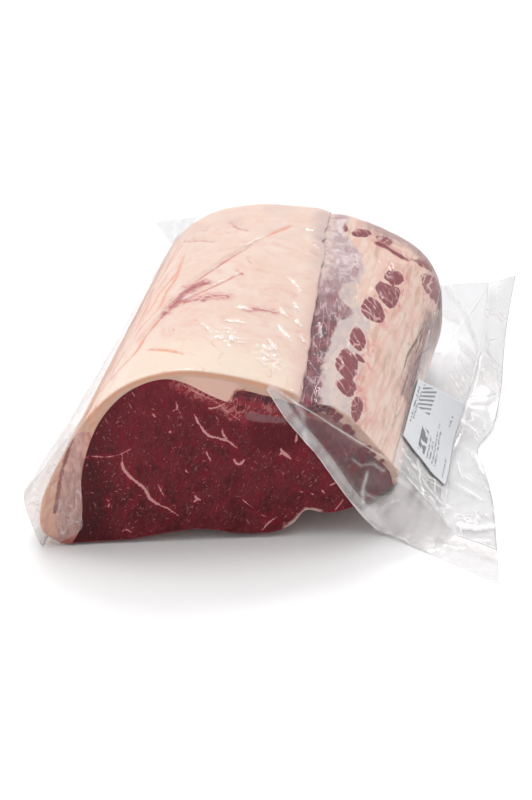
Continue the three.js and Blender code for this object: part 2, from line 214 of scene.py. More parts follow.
def place(rows, along, angle, outward=0.0):
    """Section points at their place on the loin, in mm. Outward is how far they stand off its end."""
    along, angle = np.asarray(along)[:, None], np.asarray(angle)[:, None]
    inset = END_RADIUS * (1 - np.cos(angle))
    x = MIDDLE[0] + (rows[..., 0] - MIDDLE[0]) * (1 - inset / HALF[0])
    z = MIDDLE[1] + (rows[..., 1] - MIDDLE[1]) * (1 - inset / HALF[1])
    y = lerp(face_y(rows[..., 0]), STRAIGHT_END, along) + (END_RADIUS + outward) * np.sin(angle)
    return np.stack([x, y, z], -1)


# Noise and distances

def lattice_noise(points, size, seed):
    """Smooth noise from about -1 to 1, with bumps of the given size."""
    table = np.random.RandomState(seed).permutation(256)
    slopes = np.random.RandomState(seed + 1).normal(size=(256, 3))
    slopes /= np.linalg.norm(slopes, axis=1, keepdims=True)
    scaled = np.asarray(points, float) / size
    if scaled.shape[-1] == 2:
        scaled = np.concatenate([scaled, np.zeros_like(scaled[..., :1]) + 0.37], -1)
    cell = np.floor(scaled).astype(int)
    inner = scaled - cell
    fade = inner ** 3 * (inner * (inner * 6 - 15) + 10)
    total = 0
    for corner in np.ndindex(2, 2, 2):
        x, y, z = ((cell[..., k] + corner[k]) & 255 for k in range(3))
        slope = slopes[table[(table[(table[x] + y) & 255] + z) & 255]]
        weight = np.prod([fade[..., k] if corner[k] else 1 - fade[..., k] for k in range(3)], axis=0)
        total = total + weight * ((inner - np.array(corner)) * slope).sum(-1)
    return total * 1.6


def layered_noise(points, size, seed, octaves=3, fall=0.5):
    """Noise of several sizes on top of each other."""
    total, weight = 0, 0
    for k in range(octaves):
        total = total + lattice_noise(points, size / 2 ** k, seed + 10 * k) * fall ** k
        weight += fall ** k
    return total / weight


def distance_to(points, line, closed=False):
    """How far each point is from a line of straight stretches, and the share of the line there."""
    points, line = np.asarray(points, float), np.asarray(line, float)
    if closed:
        line = np.vstack([line, line[:1]])
    best = np.full(points.shape[:-1], np.inf)
    share = np.zeros(points.shape[:-1])
    lengths = np.linalg.norm(np.diff(line, axis=0), axis=1)
    before = np.concatenate([[0], np.cumsum(lengths)])
    for a, b, start, length in zip(line, line[1:], before, lengths):
        t = np.clip(((points - a) @ (b - a)) / max(length ** 2, 1e-9), 0, 1)
        far = np.linalg.norm(points - a - t[..., None] * (b - a), axis=-1)
        nearer = far < best
        best[nearer] = far[nearer]
        share[nearer] = (start + t[nearer] * length) / before[-1]
    return best, share


def far_from(points, line, closed=False):
    return distance_to(points, line, closed)[0]


def inside(points, loop):
    """True for the points inside a closed flat loop."""
    result = np.zeros(len(points), bool)
    for (x0, y0), (x1, y1) in zip(loop, np.roll(loop, -1, axis=0)):
        if y0 == y1:
            continue
        crosses = (points[:, 1] > min(y0, y1)) & (points[:, 1] <= max(y0, y1))
        at = x0 + (points[:, 1] - y0) * (x1 - x0) / (y1 - y0)
        result ^= crosses & (points[:, 0] < at)
    return result


# Meshes

def fill(loop, step, lines=(), seed=3):
    """Even triangles in a flat loop, closer along some lines. Gives the points inside, and triangles
    that count the loop first."""
    low, high = loop.min(0), loop.max(0)
    rise = step * math.sqrt(3) / 2
    ys = np.arange(low[1], high[1], rise)
    xs = np.arange(low[0], high[0], step)
    grid = np.array([(x + step / 2 * (j % 2), y) for j, y in enumerate(ys) for x in xs])
    grid += np.random.RandomState(seed).uniform(-0.12, 0.12, grid.shape) * step
    grid = grid[inside(grid, loop)]
    grid = grid[far_from(grid, loop, closed=True) > 0.6 * step]
    beside = (-VEIN_STEP, 0, VEIN_STEP)
    fine = [along_line(line, VEIN_STEP, side) for line, _ in lines for side in beside]
    if fine:
        fine = thinned(np.vstack(fine), 0.25)
        fine = fine[inside(fine, loop)]
        fine = fine[far_from(fine, loop, closed=True) > 0.5]
        grid = np.vstack([grid[apart(grid, fine, 0.4)], fine])
    points = np.vstack([loop, grid])
    edges = [(k, (k + 1) % len(loop)) for k in range(len(loop))]
    made = geometry.delaunay_2d_cdt([Vector(p) for p in points], edges, [], 1, 1e-6)
    origin = np.array([group[0] for group in made[3]])
    return grid, origin[np.array(made[2])]


def along_line(line, step, side):
    """Even points beside a flat line."""
    curve = Curve(line, 8) if len(line) > 2 else Curve([line[0], np.mean(line, axis=0), line[1]], 8)
    points = curve.at(np.linspace(0, 1, max(2, round(curve.length / step) + 1)))
    tangent = np.gradient(points, axis=0)
    tangent /= np.linalg.norm(tangent, axis=1, keepdims=True) + 1e-9
    return points + np.stack([-tangent[:, 1], tangent[:, 0]], -1) * side


def apart(points, others, gap):
    """True for the points that are at least a gap away from all the others."""
    return np.array([np.min(np.sum((others - point) ** 2, axis=1)) > gap ** 2 for point in points])


def thinned(points, gap):
    """The points without those too close to an earlier one."""
    kept = points[:1]
    for point in points[1:]:
        if np.min(np.sum((kept - point) ** 2, axis=1)) > gap ** 2:
            kept = np.vstack([kept, point])
    return kept


def mesh_object(name, points, faces):
    """A smooth-shaded object from points in mm."""
    mesh = bpy.data.meshes.new(name)
    mesh.from_pydata((np.asarray(points) * MM).tolist(), [], [list(map(int, f)) for f in faces])
    mesh.shade_smooth()
    made = bpy.data.objects.new(name, mesh)
    bpy.context.scene.collection.objects.link(made)
    return made


def quads(rows, columns, closed=False, start=0):
    """The faces of a grid of points that are counted row by row."""
    i = np.arange(columns if closed else columns - 1)
    j = np.arange(rows - 1)[:, None]
    a = start + j * columns + i
    b = start + j * columns + (i + 1) % columns
    return np.stack([a, b, b + columns, a + columns], -1).reshape(-1, 4).tolist()


def face_outward(made):
    """Turns all faces of a closed mesh to the outside."""
    work = bmesh.new()
    work.from_mesh(made.data)
    bmesh.ops.recalc_face_normals(work, faces=work.faces)
    work.to_mesh(made.data)
    work.free()


def closed_piece(name, loops, front_step, back_step, lines=()):
    """A closed piece of meat or fat from its loops, with even triangles over both ends."""
    rows, columns = loops.shape[:2]
    points = [loops.reshape(-1, 3)]
    faces = quads(rows, columns, closed=True)
    count = rows * columns
    for row, step in ((0, front_step), (rows - 1, back_step)):
        flat = loops[row][:, [0, 2]]
        added, triangles = fill(flat, step, lines if row == 0 else ())
        y = face_y(added[:, 0]) if row == 0 else np.full(len(added), BACK_Y)
        points.append(np.stack([added[:, 0], y, added[:, 1]], -1))
        own = np.concatenate([np.arange(columns) + row * columns, np.arange(len(added)) + count])
        faces += own[triangles].tolist()
        count += len(added)
    made = mesh_object(name, np.vstack(points), faces)
    face_outward(made)
    made.data.set_sharp_from_angle(angle=math.radians(SHARP_FROM))
    return made


def points_of(made):
    """An object's points in mm."""
    flat = np.empty(len(made.data.vertices) * 3, np.float32)
    made.data.vertices.foreach_get("co", flat)
    return flat.reshape(-1, 3).astype(float) / MM


def set_points(made, points):
    made.data.vertices.foreach_set("co", (points * MM).astype(np.float32).ravel())
    made.data.update()


def normals_of(made):
    flat = np.empty(len(made.data.vertices) * 3, np.float32)
    made.data.vertex_normals.foreach_get("vector", flat)
    return flat.reshape(-1, 3).astype(float)


def paint(made, **marked):
    """Stores numbers for each point, which the material reads by their name."""
    for name, values in marked.items():
        attribute = made.data.attributes.new(name, "FLOAT", "POINT")
        attribute.data.foreach_set("value", np.asarray(values, np.float32))


def bridge(start, end, step):
    """The points between the last point of one line and the first of the next, in each row."""
    count = round(np.linalg.norm(start[0] - end[0]) / step)
    shares = np.linspace(0, 1, count + 1)[1:-1] if count > 1 else np.zeros(0)
    return start[:, None] + (end - start)[:, None] * shares[None, :, None]


def loop_of(upper, lower, step):
    """One closed loop of section points in each row, from an upper and a lower line."""
    back = lower[:, ::-1]
    return np.concatenate([upper, bridge(upper[:, -1], back[:, 0], step),
                           back, bridge(back[:, -1], upper[:, 0], step)], 1)


def rounding(along, radius):
    """How far the outline draws in on the rows next to the cut face, for a rounded edge."""
    into = np.minimum(along * (STRAIGHT_END - FACE_Y), radius)
    return (radius - np.sqrt(radius ** 2 - (radius - into) ** 2))[:, None, None]


def lean_piece():
    along, angle = loin_rows(7)
    top = chain(["lean_under_cap", "lean_under_muscle", "lean_under_side"], 1.1, along, -LAYER_GAP)
    low = chain(["underside"], 0.8, smoothstep(along, 0, UNDERSIDE_FLAT_AT), rounding(along, 1.6))
    loops = loop_of(top, low[:, 3:], 1)              # the two lines meet at the tail
    return closed_piece("lean_meat", place(loops, along, angle), 0.62, 3, VEINS)


def cap_piece():
    along, angle = loin_rows(1.5)
    outer = chain(["cap_outer"], 1.3, along, -rounding(along, 2.2))
    inner = chain(["lean_under_cap", "muscle_under_cap"], 1.6, along, LAYER_GAP)
    loops = place(loop_of(outer, inner, 1.5), along, angle)
    edge = outer.shape[1] - 1
    at = loops[:, edge, 1:2]

    def waves(size, seed):
        return lattice_noise(np.hstack([at, at * 0]), size, seed)[:, None]

    near_edge = peak(np.arange(edge, -1, -1), 6)
    at_back = smoothstep(at, 20, 70)
    wave = 1.5 * waves(24, 17) + 0.8 * waves(7, 18) - 0.6 + (1.4 + 2 * waves(13, 19)) * at_back
    loops[:, :edge + 1, 0] += wave * near_edge * smoothstep(at, FACE_Y, FACE_Y + 14)
    thinner = 0.7 * near_edge * at_back
    loops[:, :edge + 1, 2] = lerp(loops[:, :edge + 1, 2], loops[:, edge, 2:3] + 0.3, thinner)
    return closed_piece("fat_cap_skin", loops, 0.9, 3)


def muscle_piece():
    along, angle = loin_rows(1.3)
    top = chain(["muscle_under_cap", "muscle_outer"], 1.1, along, -LAYER_GAP)
    low = chain(["lean_under_muscle"], 1.3, along, LAYER_GAP)
    loops = loop_of(top[:, 1:], low[:, 1:], 1)       # the two lines meet at their first point
    return closed_piece("side_muscle_meat", place(loops, along, angle), 0.6, 3)


def side_piece():
    along, angle = loin_rows(1.2)
    outer = chain(["side_outer"], 0.9, along, -rounding(along, 1.6))
    inner = chain(["lean_under_side"], 1.6, along, LAYER_GAP)
    outer[:, 0] = section("muscle_outer", 3, along)[:, -1] + (LAYER_GAP, 0)
    return closed_piece("side_fat_skin", place(loop_of(outer, inner, 1), along, angle), 0.6, 3)


# Where the marks lie. On the cut face a place is across and up, elsewhere it is a point in mm.

VEINS = [                        # a line on the cut face, and its half width
    ([(-61, 64), (-60.9, 54), (-57.6, 48), (-48.7, 38.6), (-45, 30.6), (-34.6, 23), (-30, 19)], 0.9),
    ([(-78, 63), (-70, 62), (-62, 63.7), (-56, 67)], 0.45),
    ([(-19.5, 89), (-16.8, 82.4), (-11.8, 74.6), (-6, 72.3), (-0.4, 70), (4.7, 65)], 0.85),
    ([(-3.8, 78.4), (-2.6, 74), (-0.4, 70.5)], 0.6),
    ([(-29.5, 98), (-29, 93.5), (-31, 92), (-29, 93), (-27, 90)], 0.6),
    ([(-33.8, 77.6), (-32.8, 77.2)], 1.2),
    ([(-42.6, 90.4), (-41.4, 88.4)], 0.5),
    ([(-13, 63), (-10.3, 56.5)], 0.45),
    ([(-25, 51), (-23.6, 48.6)], 0.45),
    ([(3, 57), (3.8, 55), (5.8, 53.7), (7.4, 54.6), (8.7, 56.4)], 0.85),
    ([(-20, 32.5), (-18.6, 30.4), (-17, 29.5)], 0.9),
    ([(-18.6, 30.4), (-20.4, 28.6)], 0.6),
    ([(-41, 41), (-37.9, 33)], 0.4),
    ([(-71, 32.4), (-69.4, 30.4), (-70.4, 27)], 0.4),
    ([(-63, 8.6), (-60.6, 9.8), (-58, 8)], 0.4),
    ([(29, 59), (31, 60.4), (33, 58.6), (35.4, 56)], 0.95),
    ([(31, 60.4), (30, 63)], 0.6),
    ([(39, 73), (38.8, 70), (38.4, 67)], 0.7),
    ([(58, 36), (60.4, 37.2), (63, 38.6)], 0.6),
    ([(40.6, 33.4), (42.6, 32.4)], 0.5),
    ([(47.6, 31.4), (49, 30.4)], 0.4),
    ([(54, 33.4), (55.6, 31.2)], 0.4),
    ([(7.8, 28), (11, 25), (13.4, 22.4)], 0.35),
    ([(15.5, 19), (21.4, 15.2)], 0.35),
    ([(27.8, 15), (23, 11), (19, 5.6)], 0.4),
    ([(61.9, 18.4), (66.4, 25.4)], 0.3),
    ([(-25.3, 109), (-20, 105), (-14.2, 101.4), (-6.4, 96.6), (-1.9, 91.4), (6.5, 84)], 0.3),
    ([(-1.9, 95.6), (-8, 93), (-13.2, 92.8)], 0.5),
    ([(-84, 62), (-80, 62.6)], 0.3),
]
WEB = [(-27, 110), (-14, 101.5), (-3, 95), (3, 88), (11, 86), (22, 88), (34, 86)]
RIM_ISLANDS = [(44, 94.5, 4.2), (50.5, 91, 4.0), (55.5, 90.5, 2.8), (58.6, 87.2, 2.8),
               (62, 84, 3.0), (67.8, 75.8, 2.8), (70.8, 72.8, 1.8), (79.5, 61, 2.6),
               (83, 57.4, 2.2), (88.6, 52, 1.6)]          # across, up, radius on the cut face
# Outlines on the cut face: the grey band below the side muscle, and the darker muscle under it
FASCIA = [(8.8, 89.9), (19, 87.7), (30.5, 85), (35, 82), (22, 81.8), (9.7, 85.3)]
DEEP_MUSCLE = [(11.7, 82), (23.6, 80.6), (38, 80), (44, 71), (38, 62.5), (23.6, 61.3), (14.4, 61),
               (12.7, 70)]
# Outlines on the chine side: along the loin, and down its slope
OVALS = [
    [(99, -50), (107, -48), (111, -41), (108, -39), (99, -43), (97, -48)],
    [(63, -22), (77, -19), (80, -13), (77, -9), (71, -9), (60, -15)],
    [(57, -23), (59, -16), (62, -9), (46, -7), (35, -10), (36, -17), (46, -24)],
    [(20, -28), (34, -25), (33, -18), (19, -11), (9, -17), (11, -26)],
    [(-21, -28), (-6, -26), (-10, -20), (-17, -17), (-30, -19), (-28, -25)],
    [(-33, -21), (-34, -16), (-37, -13), (-40, -19)],
    [(-51, -30), (-35, -27), (-39, -19), (-47, -16), (-65, -18), (-62, -27)],
    [(-73, -26), (-68, -23), (-62, -17), (-65, -13), (-80, -15), (-79, -24)],
    [(-94, -9), (-82, -12), (-72, -9), (-73, -5), (-84, -3), (-95, -5)],
]
DARK_PATCHES = [
    [(99, -63), (112, -60), (105, -53), (98, -52), (103, -59)],
    [(109, -37), (113, -28), (109, -25), (101, -29), (105, -35)],
    [(90, 4), (98, 3), (111, 11), (116, 24), (108, 34), (98, 24), (87, 10)],
    [(103, -9), (113, 0), (117, 8), (111, 8), (104, -3)],
]
RED_LENS = [(101, -36), (105, -32), (103, -24), (102, -15), (101, -9), (96, -16), (99, -25), (98, -33)]
MAUVE_SIDE = [(76, 18), (92, 29), (109, 38), (100, 46), (64, 42), (37, 37), (2, 34), (-19, 29), (-22, 22),
              (-2, 19), (16, 18), (40, 22), (55, 20)]
# folds on the chine side; their dark lines are painted shade
DARK_FOLDS = [[(78, 18), (68, 18), (46, 20), (16, 16), (-2, 17), (-28, 18)],
              [(92, 43), (64, 36), (43, 30), (19, 26), (4, 28), (-20, 29)],
              [(74, 19), (55, 22), (35, 23), (18, 21)], [(50, 33), (24, 31), (0, 32)],
              [(12, 21), (-12, 23), (-36, 22)]]
STRIP_LEFT = [(-115, -39), (-75, -42), (-52, -44), (-8, -49), (31, -53), (68, -55), (90, -61), (130, -64)]
STRIP_RIGHT = [(-112, -28), (-95, -29), (-79, -32), (-57, -35), (-43, -35), (-30, -37), (-8, -37),
               (-1, -32), (9, -32), (14, -40), (26, -43), (37, -42), (43, -36), (58, -35), (76, -40),
               (86, -47), (97, -55)]
MUSCLE_EDGE = [(58.7, -100, 91), (46.2, 116, 108)]       # where the side muscle meets the side fat
BRUISES = [([(-57, -40, 110), (-54, -28, 111), (-50, -15, 112), (-45, -8, 114), (-39, -2, 115)], 4.2),
           ([(-52, -14, 112), (-47, -6, 113), (-41, 0, 115)], 3.4),
           ([(-50, -28, 113), (-38, -27, 116), (-32, -23, 116), (-21, -20, 116)], 1.8),
           ([(-4, -32, 115), (4, -28, 114), (9, -26, 112)], 0.8)]
RED_CREASES = [([(-66, -64, 104), (-62, -54, 107), (-59, -43, 109), (-56, -31, 110), (-55, -13, 111),
                 (-49, 0, 113), (-43, 13, 114), (-37, 25, 115), (-30, 41, 115), (-23, 54, 116)], 0.6),
               ([(-58, -41, 109), (-54, -27, 111), (-47, -25, 114), (-41, -18, 115), (-29, -2, 116),
                 (-19, 15, 116)], 0.5),
               ([(18, 61, 111), (23, 59, 109), (27, 65, 104)], 0.7),
               ([(17, 83, 112), (21, 81, 111), (25, 87, 105)], 0.6),
               ([(-42, 93, 113), (-36, 84, 114), (-28, 79, 115)], 0.4),
               ([(-74, 88, 98), (-61, 74, 107), (-48, 64, 112)], 0.4),
               ([(-23, 19, 116), (-17, 13, 116)], 1.0),
               ([(-96, -80, 66), (-88, -62, 78), (-84, -45, 85)], 0.6)]
ORANGE_CREASES = [([(-13, 73, 116), (-7, 82, 115), (-1, 91, 115)], 0.8),
                  ([(-80, -45, 92), (-76, -30, 96), (-72, -12, 100), (-71, 5, 100), (-65, 26, 105),
                    (-67, 56, 104)], 0.8),
                  ([(-72, -45, 100), (-64, -23, 105), (-65, 0, 105), (-63, 12, 106), (-64, 32, 106)], 0.6),
                  ([(-58, -38, 109), (-61, -50, 108), (-63, -66, 107), (-64, -84, 106), (-68, -92, 102),
                    (-73, -98, 98), (-79, -107, 91)], 0.9),
                  ([(-82, -8, 88), (-78, 25, 91), (-74, 56, 95)], 0.8),
                  ([(-53, -89, 112), (-41, -96, 116), (-30, -101, 118)], 0.5)]
TAIL_LINE = [(-89, 74.5), (-95.7, 54), (-101.2, 24.6)]


def face_distance(points):
    """How far points lie behind the cut face, and their place on it."""
    flat = points[:, [0, 2]]
    return (points[:, 1] - face_y(points[:, 0])) * math.cos(math.atan(FACE_SLOPE)), flat


def marks(points, lines):
    """The distance to the nearest edge of some curves with a half width, in mm. Their ends taper."""
    nearest = []
    for line, half in lines:
        curve = Curve(line, 8).line if len(line) > 2 else np.array(line, float)
        far, share = distance_to(points, curve)
        nearest.append(far - half * np.sin(np.clip(share, 0.04, 0.96) * math.pi) ** 0.4)
    return np.min(nearest, axis=0)


def on_chine(points):
    """Places on the chine side: along the loin, and down its slope."""
    return np.stack([points[:, 1], (points[:, 0] - points[:, 2]) / math.sqrt(2)], -1)


def patch_distance(flat, outlines):
    """How far flat points are from the edge of the nearest patch: negative inside."""
    best = np.full(len(flat), 50.0)
    for outline in outlines:
        smooth = Curve([*outline, outline[0]], 6).line[:-1]
        far = far_from(flat, smooth, closed=True)
        best = np.minimum(best, np.where(inside(flat, smooth), -far, far))
    return best


def fold_distance(points):
    """How far points on the chine side are from the nearest fold, more at the ends of a fold."""
    nearest = []
    for line in DARK_FOLDS:
        far, share = distance_to(on_chine(points), Curve(line, 6).line)
        nearest.append(far + 2 * (1 - np.sin(share * math.pi) ** 0.5))
    return np.min(nearest, axis=0)


def over(flat, line):
    """How far flat points lie above a line that runs to the right."""
    return flat[..., 1] - np.interp(flat[..., 0], *np.array(line, float).T)


def beyond(points, line):
    """How far points on the chine side lie below a line that runs back along the loin."""
    return over(on_chine(points), line)


def roughen(made, relief):
    """Gives a piece the relief of its cut face and of its outside, and marks where its face is."""
    points = points_of(made)
    behind, flat = face_distance(points)
    near = np.exp(-np.maximum(behind, 0) / 1.6)
    bumps = (0.45 * lattice_noise(flat, 24, 5) + 0.28 * lattice_noise(flat, 7, 6)
             + 0.16 * lattice_noise(flat, 2.6, 7))
    moved = points + normals_of(made) * (relief(points) * (1 - near))[:, None]
    moved[:, 1] -= (bumps + 0.1) * near
    moved[:, 2] = np.maximum(moved[:, 2], FLOOR_GAP)
    set_points(made, moved)
    paint(made, face=np.exp(-np.maximum(behind, 0) / 0.9))
    return points, flat


def groove(distance, width):
    return np.exp(-np.maximum(distance, 0) ** 2 / width ** 2)


def outside_relief(points):
    """The height of the bumps and creases on the outside of the fat, in mm."""
    stretched = points * (1, 0.45, 1)
    height = 0.35 * layered_noise(points, 34, 11) + 0.15 * layered_noise(stretched, 9, 12)
    height -= 1.8 * groove(marks(points, RED_CREASES[:1]), 2.2)
    height -= 0.8 * groove(marks(points, RED_CREASES[1:]), 1.4)
    height -= 0.6 * groove(marks(points, ORANGE_CREASES), 1.3)
    at_strip = groove(np.abs(beyond(points, STRIP_LEFT) - 0.5), 1.6) * (points[:, 2] > 85)
    height -= 0.9 * at_strip * smoothstep(points[:, 1], 60, -10)
    return np.minimum(height, 0.45)


def chine_relief(points):
    """The height of the bumps, wrinkles and ovals on the chine side, in mm."""
    stretched = points * (1, 0.22, 1)
    on_side = on_chine(points)
    oval = patch_distance(on_side, OVALS)
    height = 0.3 * layered_noise(stretched, 7, 15, 2) + 0.25 * layered_noise(points, 20, 16, 2)
    height += 0.5 * groove(oval + 1, 3) - 0.5 * groove(np.abs(oval), 1.2)
    height -= 0.9 * groove(patch_distance(on_side, [RED_LENS]), 1.8)
    height -= 0.9 * groove(fold_distance(points), 1.2)
    edge = np.array(MUSCLE_EDGE, float)
    from_edge = np.abs(points[:, 0] - np.interp(points[:, 1], edge[:, 1], edge[:, 0]))
    return np.minimum(height, 0.5) * smoothstep(from_edge, 0, 4)


def mark_lean(made):
    _, flat = roughen(made, lambda p: -0.2 + 0.2 * lattice_noise(p, 9, 21))
    low = LINES["underside"][0].at(np.linspace(0, 1, 200))
    notch = [(34, 6.5), (39, 11), (45.5, 18.5), (52, 17)]
    paint(made, vein=marks(flat, VEINS), web=far_from(flat, WEB),
          fascia=patch_distance(flat, [FASCIA]), deep=patch_distance(flat, [DEEP_MUSCLE]),
          low_edge=far_from(flat, low), notch=far_from(flat, notch))


def mark_cap(made):
    points, flat = roughen(made, outside_relief)
    rim = LINES["cap_outer"][0].at(np.linspace(0, 1, 300))
    by_muscle = [(0.5, 96), (2.6, 100), (5, 103.2), (8, 103.8)]
    tail_x = np.interp(flat[:, 1], [25, 54, 75], [-101, -96, -89])
    paint(made, bruise=marks(points, BRUISES), crease=marks(points, RED_CREASES),
          orange=marks(points, ORANGE_CREASES), strip=beyond(points, STRIP_LEFT),
          tail_line=far_from(flat, TAIL_LINE), by_muscle=far_from(flat, by_muscle),
          tail_right=np.where(flat[:, 1] < 80, flat[:, 0] - tail_x, -10), rim=far_from(flat, rim))


def mark_chine(made):
    points, flat = roughen(made, chine_relief)
    on_side = on_chine(points)
    rim = np.vstack([LINES[name][0].at(np.linspace(0, 1, 120)) for name in ("muscle_outer", "side_outer")])
    islands = [np.linalg.norm(flat - (x, z), axis=1) - r for x, z, r in RIM_ISLANDS]
    paint(made, oval=patch_distance(on_side, OVALS), patch=patch_distance(on_side, DARK_PATCHES),
          strip_right=beyond(points, STRIP_RIGHT), strip=beyond(points, STRIP_LEFT),
          lens=patch_distance(on_side, [RED_LENS]), fold=fold_distance(points) - 0.7,
          mauve=patch_distance(on_side, [MAUVE_SIDE]), from_side=far_from(flat, rim),
          island=np.min(islands, axis=0))


# Materials

class Value:
    """A number, a colour or a shader that some nodes of a look work out."""

    def __init__(self, look, socket):
        self.look = look
        self.socket = socket

    def __add__(self, other):
        return self.look.math("ADD", self, other)

    def __sub__(self, other):
        return self.look.math("SUBTRACT", self, other)

    def __mul__(self, other):
        return self.look.math("MULTIPLY", self, other)

    def step(self, low, high):
        """0 where the value is at low, 1 where it is at high, and soft between."""
        return self.look.value("ShaderNodeMapRange", {"Value": self, "From Min": low, "From Max": high},
                               interpolation_type="SMOOTHSTEP")

    def ramp(self, low, high):
        """0 below low, 1 above high, and straight between."""
        return self.look.value("ShaderNodeMapRange", {"Value": self, "From Min": low, "From Max": high})

    def between(self, low, high):
        """From low where the value is 0, to high where it is 1."""
        return self.look.value("ShaderNodeMapRange", {"Value": self, "To Min": low, "To Max": high})

    def shift(self, by, amount):
        """The value moved up and down by noise, which goes from 0 to 1."""
        return self + (by - 0.5) * amount

    def coat(self, share, colour, amount=1):
        """Lays another colour over this one: all of it where the share is 1, if the amount is."""
        share = share * amount if amount != 1 else share
        self.socket = self.look.mix(share, self, colour).socket


class Look:
    """A material or the world, with short ways to make the nodes that it needs. Sizes are in mm."""

    def __init__(self, made, place="Object"):
        self.made = made
        made.use_nodes = True
        self.tree = made.node_tree
        self.tree.nodes.clear()
        self.place = self.value("ShaderNodeTexCoord", {}, place)

    def fill_in(self, socket, value):
        """Links a value to a socket, or sets the socket's own number or colour."""
        if isinstance(value, Value):
            self.tree.links.new(value.socket, socket)
        elif isinstance(value, tuple) and socket.type == "RGBA":
            socket.default_value = (*value, 1)
        else:
            socket.default_value = value

    def node(self, kind, inputs, **settings):
        made = self.tree.nodes.new(kind)
        for name, value in settings.items():
            setattr(made, name, value)
        for name, value in inputs.items():
            self.fill_in(made.inputs[name], value)
        return made

    def value(self, kind, inputs, output=0, **settings):
        return Value(self, self.node(kind, inputs, **settings).outputs[output])

    def mark(self, name):
        return self.value("ShaderNodeAttribute", {}, "Fac", attribute_name=name)

    def axes(self):
        """The place along X, Y and Z, in metres."""
        parts = self.node("ShaderNodeSeparateXYZ", {"Vector": self.place})
        return [Value(self, socket) for socket in parts.outputs]

    def scaled(self, size, stretch=(1, 1, 1), turn=(0, 0, 0)):
        scale = tuple(size * MM * s for s in stretch)
        angles = tuple(math.radians(a) for a in turn)
        return self.value("ShaderNodeMapping", {"Vector": self.place, "Scale": scale, "Rotation": angles},
                          vector_type="TEXTURE")

    def noise(self, size, detail=3, stretch=(1, 1, 1), turn=(0, 0, 0), warp=0.0):
        return self.value("ShaderNodeTexNoise", {"Vector": self.scaled(size, stretch, turn), "Scale": 1.0,
                                                 "Detail": detail, "Distortion": warp})

    def cells(self, size, stretch=(1, 1, 1), turn=(0, 0, 0), output="Distance"):
        place = self.scaled(size, stretch, turn)
        return self.value("ShaderNodeTexVoronoi", {"Vector": place, "Scale": 1.0}, output)

    def wavy(self, name, amount, *noise, **more):
        """A mark that noise moves to and fro, so that its edge isn't smooth."""
        return self.mark(name).shift(self.noise(*noise, **more), amount)

    def math(self, operation, a, b=0.0):
        return self.value("ShaderNodeMath", {0: a, 1: b}, operation=operation)

    def threads(self, size, width, stretch=(1, 1, 1), turn=(0, 0, 0)):
        """Thin winding lines, as fibres and membranes make."""
        middle = self.noise(size, 4, stretch, turn, 0.8) - 0.5
        return self.math("ABSOLUTE", middle).step(width, width * 0.2)

    def borders(self, size, width, stretch=(1, 1, 1), turn=(0, 0, 0), bend=0.9):
        """Thin bent lines between cells, as a net of membranes makes."""
        place = self.scaled(size, stretch, turn)
        bent = self.value("ShaderNodeTexNoise", {"Vector": place, "Scale": 1.3, "Detail": 4.0}, "Color")
        move = self.value("ShaderNodeVectorMath", {0: bent, 1: (bend, bend, bend)}, operation="MULTIPLY")
        moved = self.value("ShaderNodeVectorMath", {0: place, 1: move}, operation="ADD")
        far = self.value("ShaderNodeTexVoronoi", {"Vector": moved, "Scale": 1.0}, feature="DISTANCE_TO_EDGE")
        uneven = self.noise(size * 1.4, 4).step(0.42, 0.68)
        return (far - uneven * (width * 1.6)).step(width * 0.5, -width * 0.3)

    def mix(self, share, a, b):
        made = self.tree.nodes.new("ShaderNodeMix")
        made.data_type = "RGBA"
        for socket, value in zip((made.inputs[0], made.inputs[6], made.inputs[7]), (share, a, b)):
            self.fill_in(socket, value)
        return Value(self, made.outputs[2])

    def bump(self, height, distance, strength=1.0):
        return self.value("ShaderNodeBump", {"Height": height, "Distance": distance * MM,
                                             "Strength": strength})

    def surface(self, shader, kind="ShaderNodeOutputMaterial"):
        self.node(kind, {"Surface": shader})
        return self.made

    def moist(self, colour, roughness, normal, specular=0.35):
        return self.surface(self.value("ShaderNodeBsdfPrincipled", {
            "Base Color": colour, "Roughness": roughness, "Normal": normal, "Specular IOR Level": specular}))

    def skin(self, outside, cut, roughness, height, depth):
        """Meat or fat with its cut face, which is glossier than what film clings to."""
        face = self.mark("face")
        colour = self.mix(face.step(0.12, 0.7), outside, cut)
        return self.moist(colour, roughness, self.bump(height, depth, 0.6), face.between(0.08, 0.3))


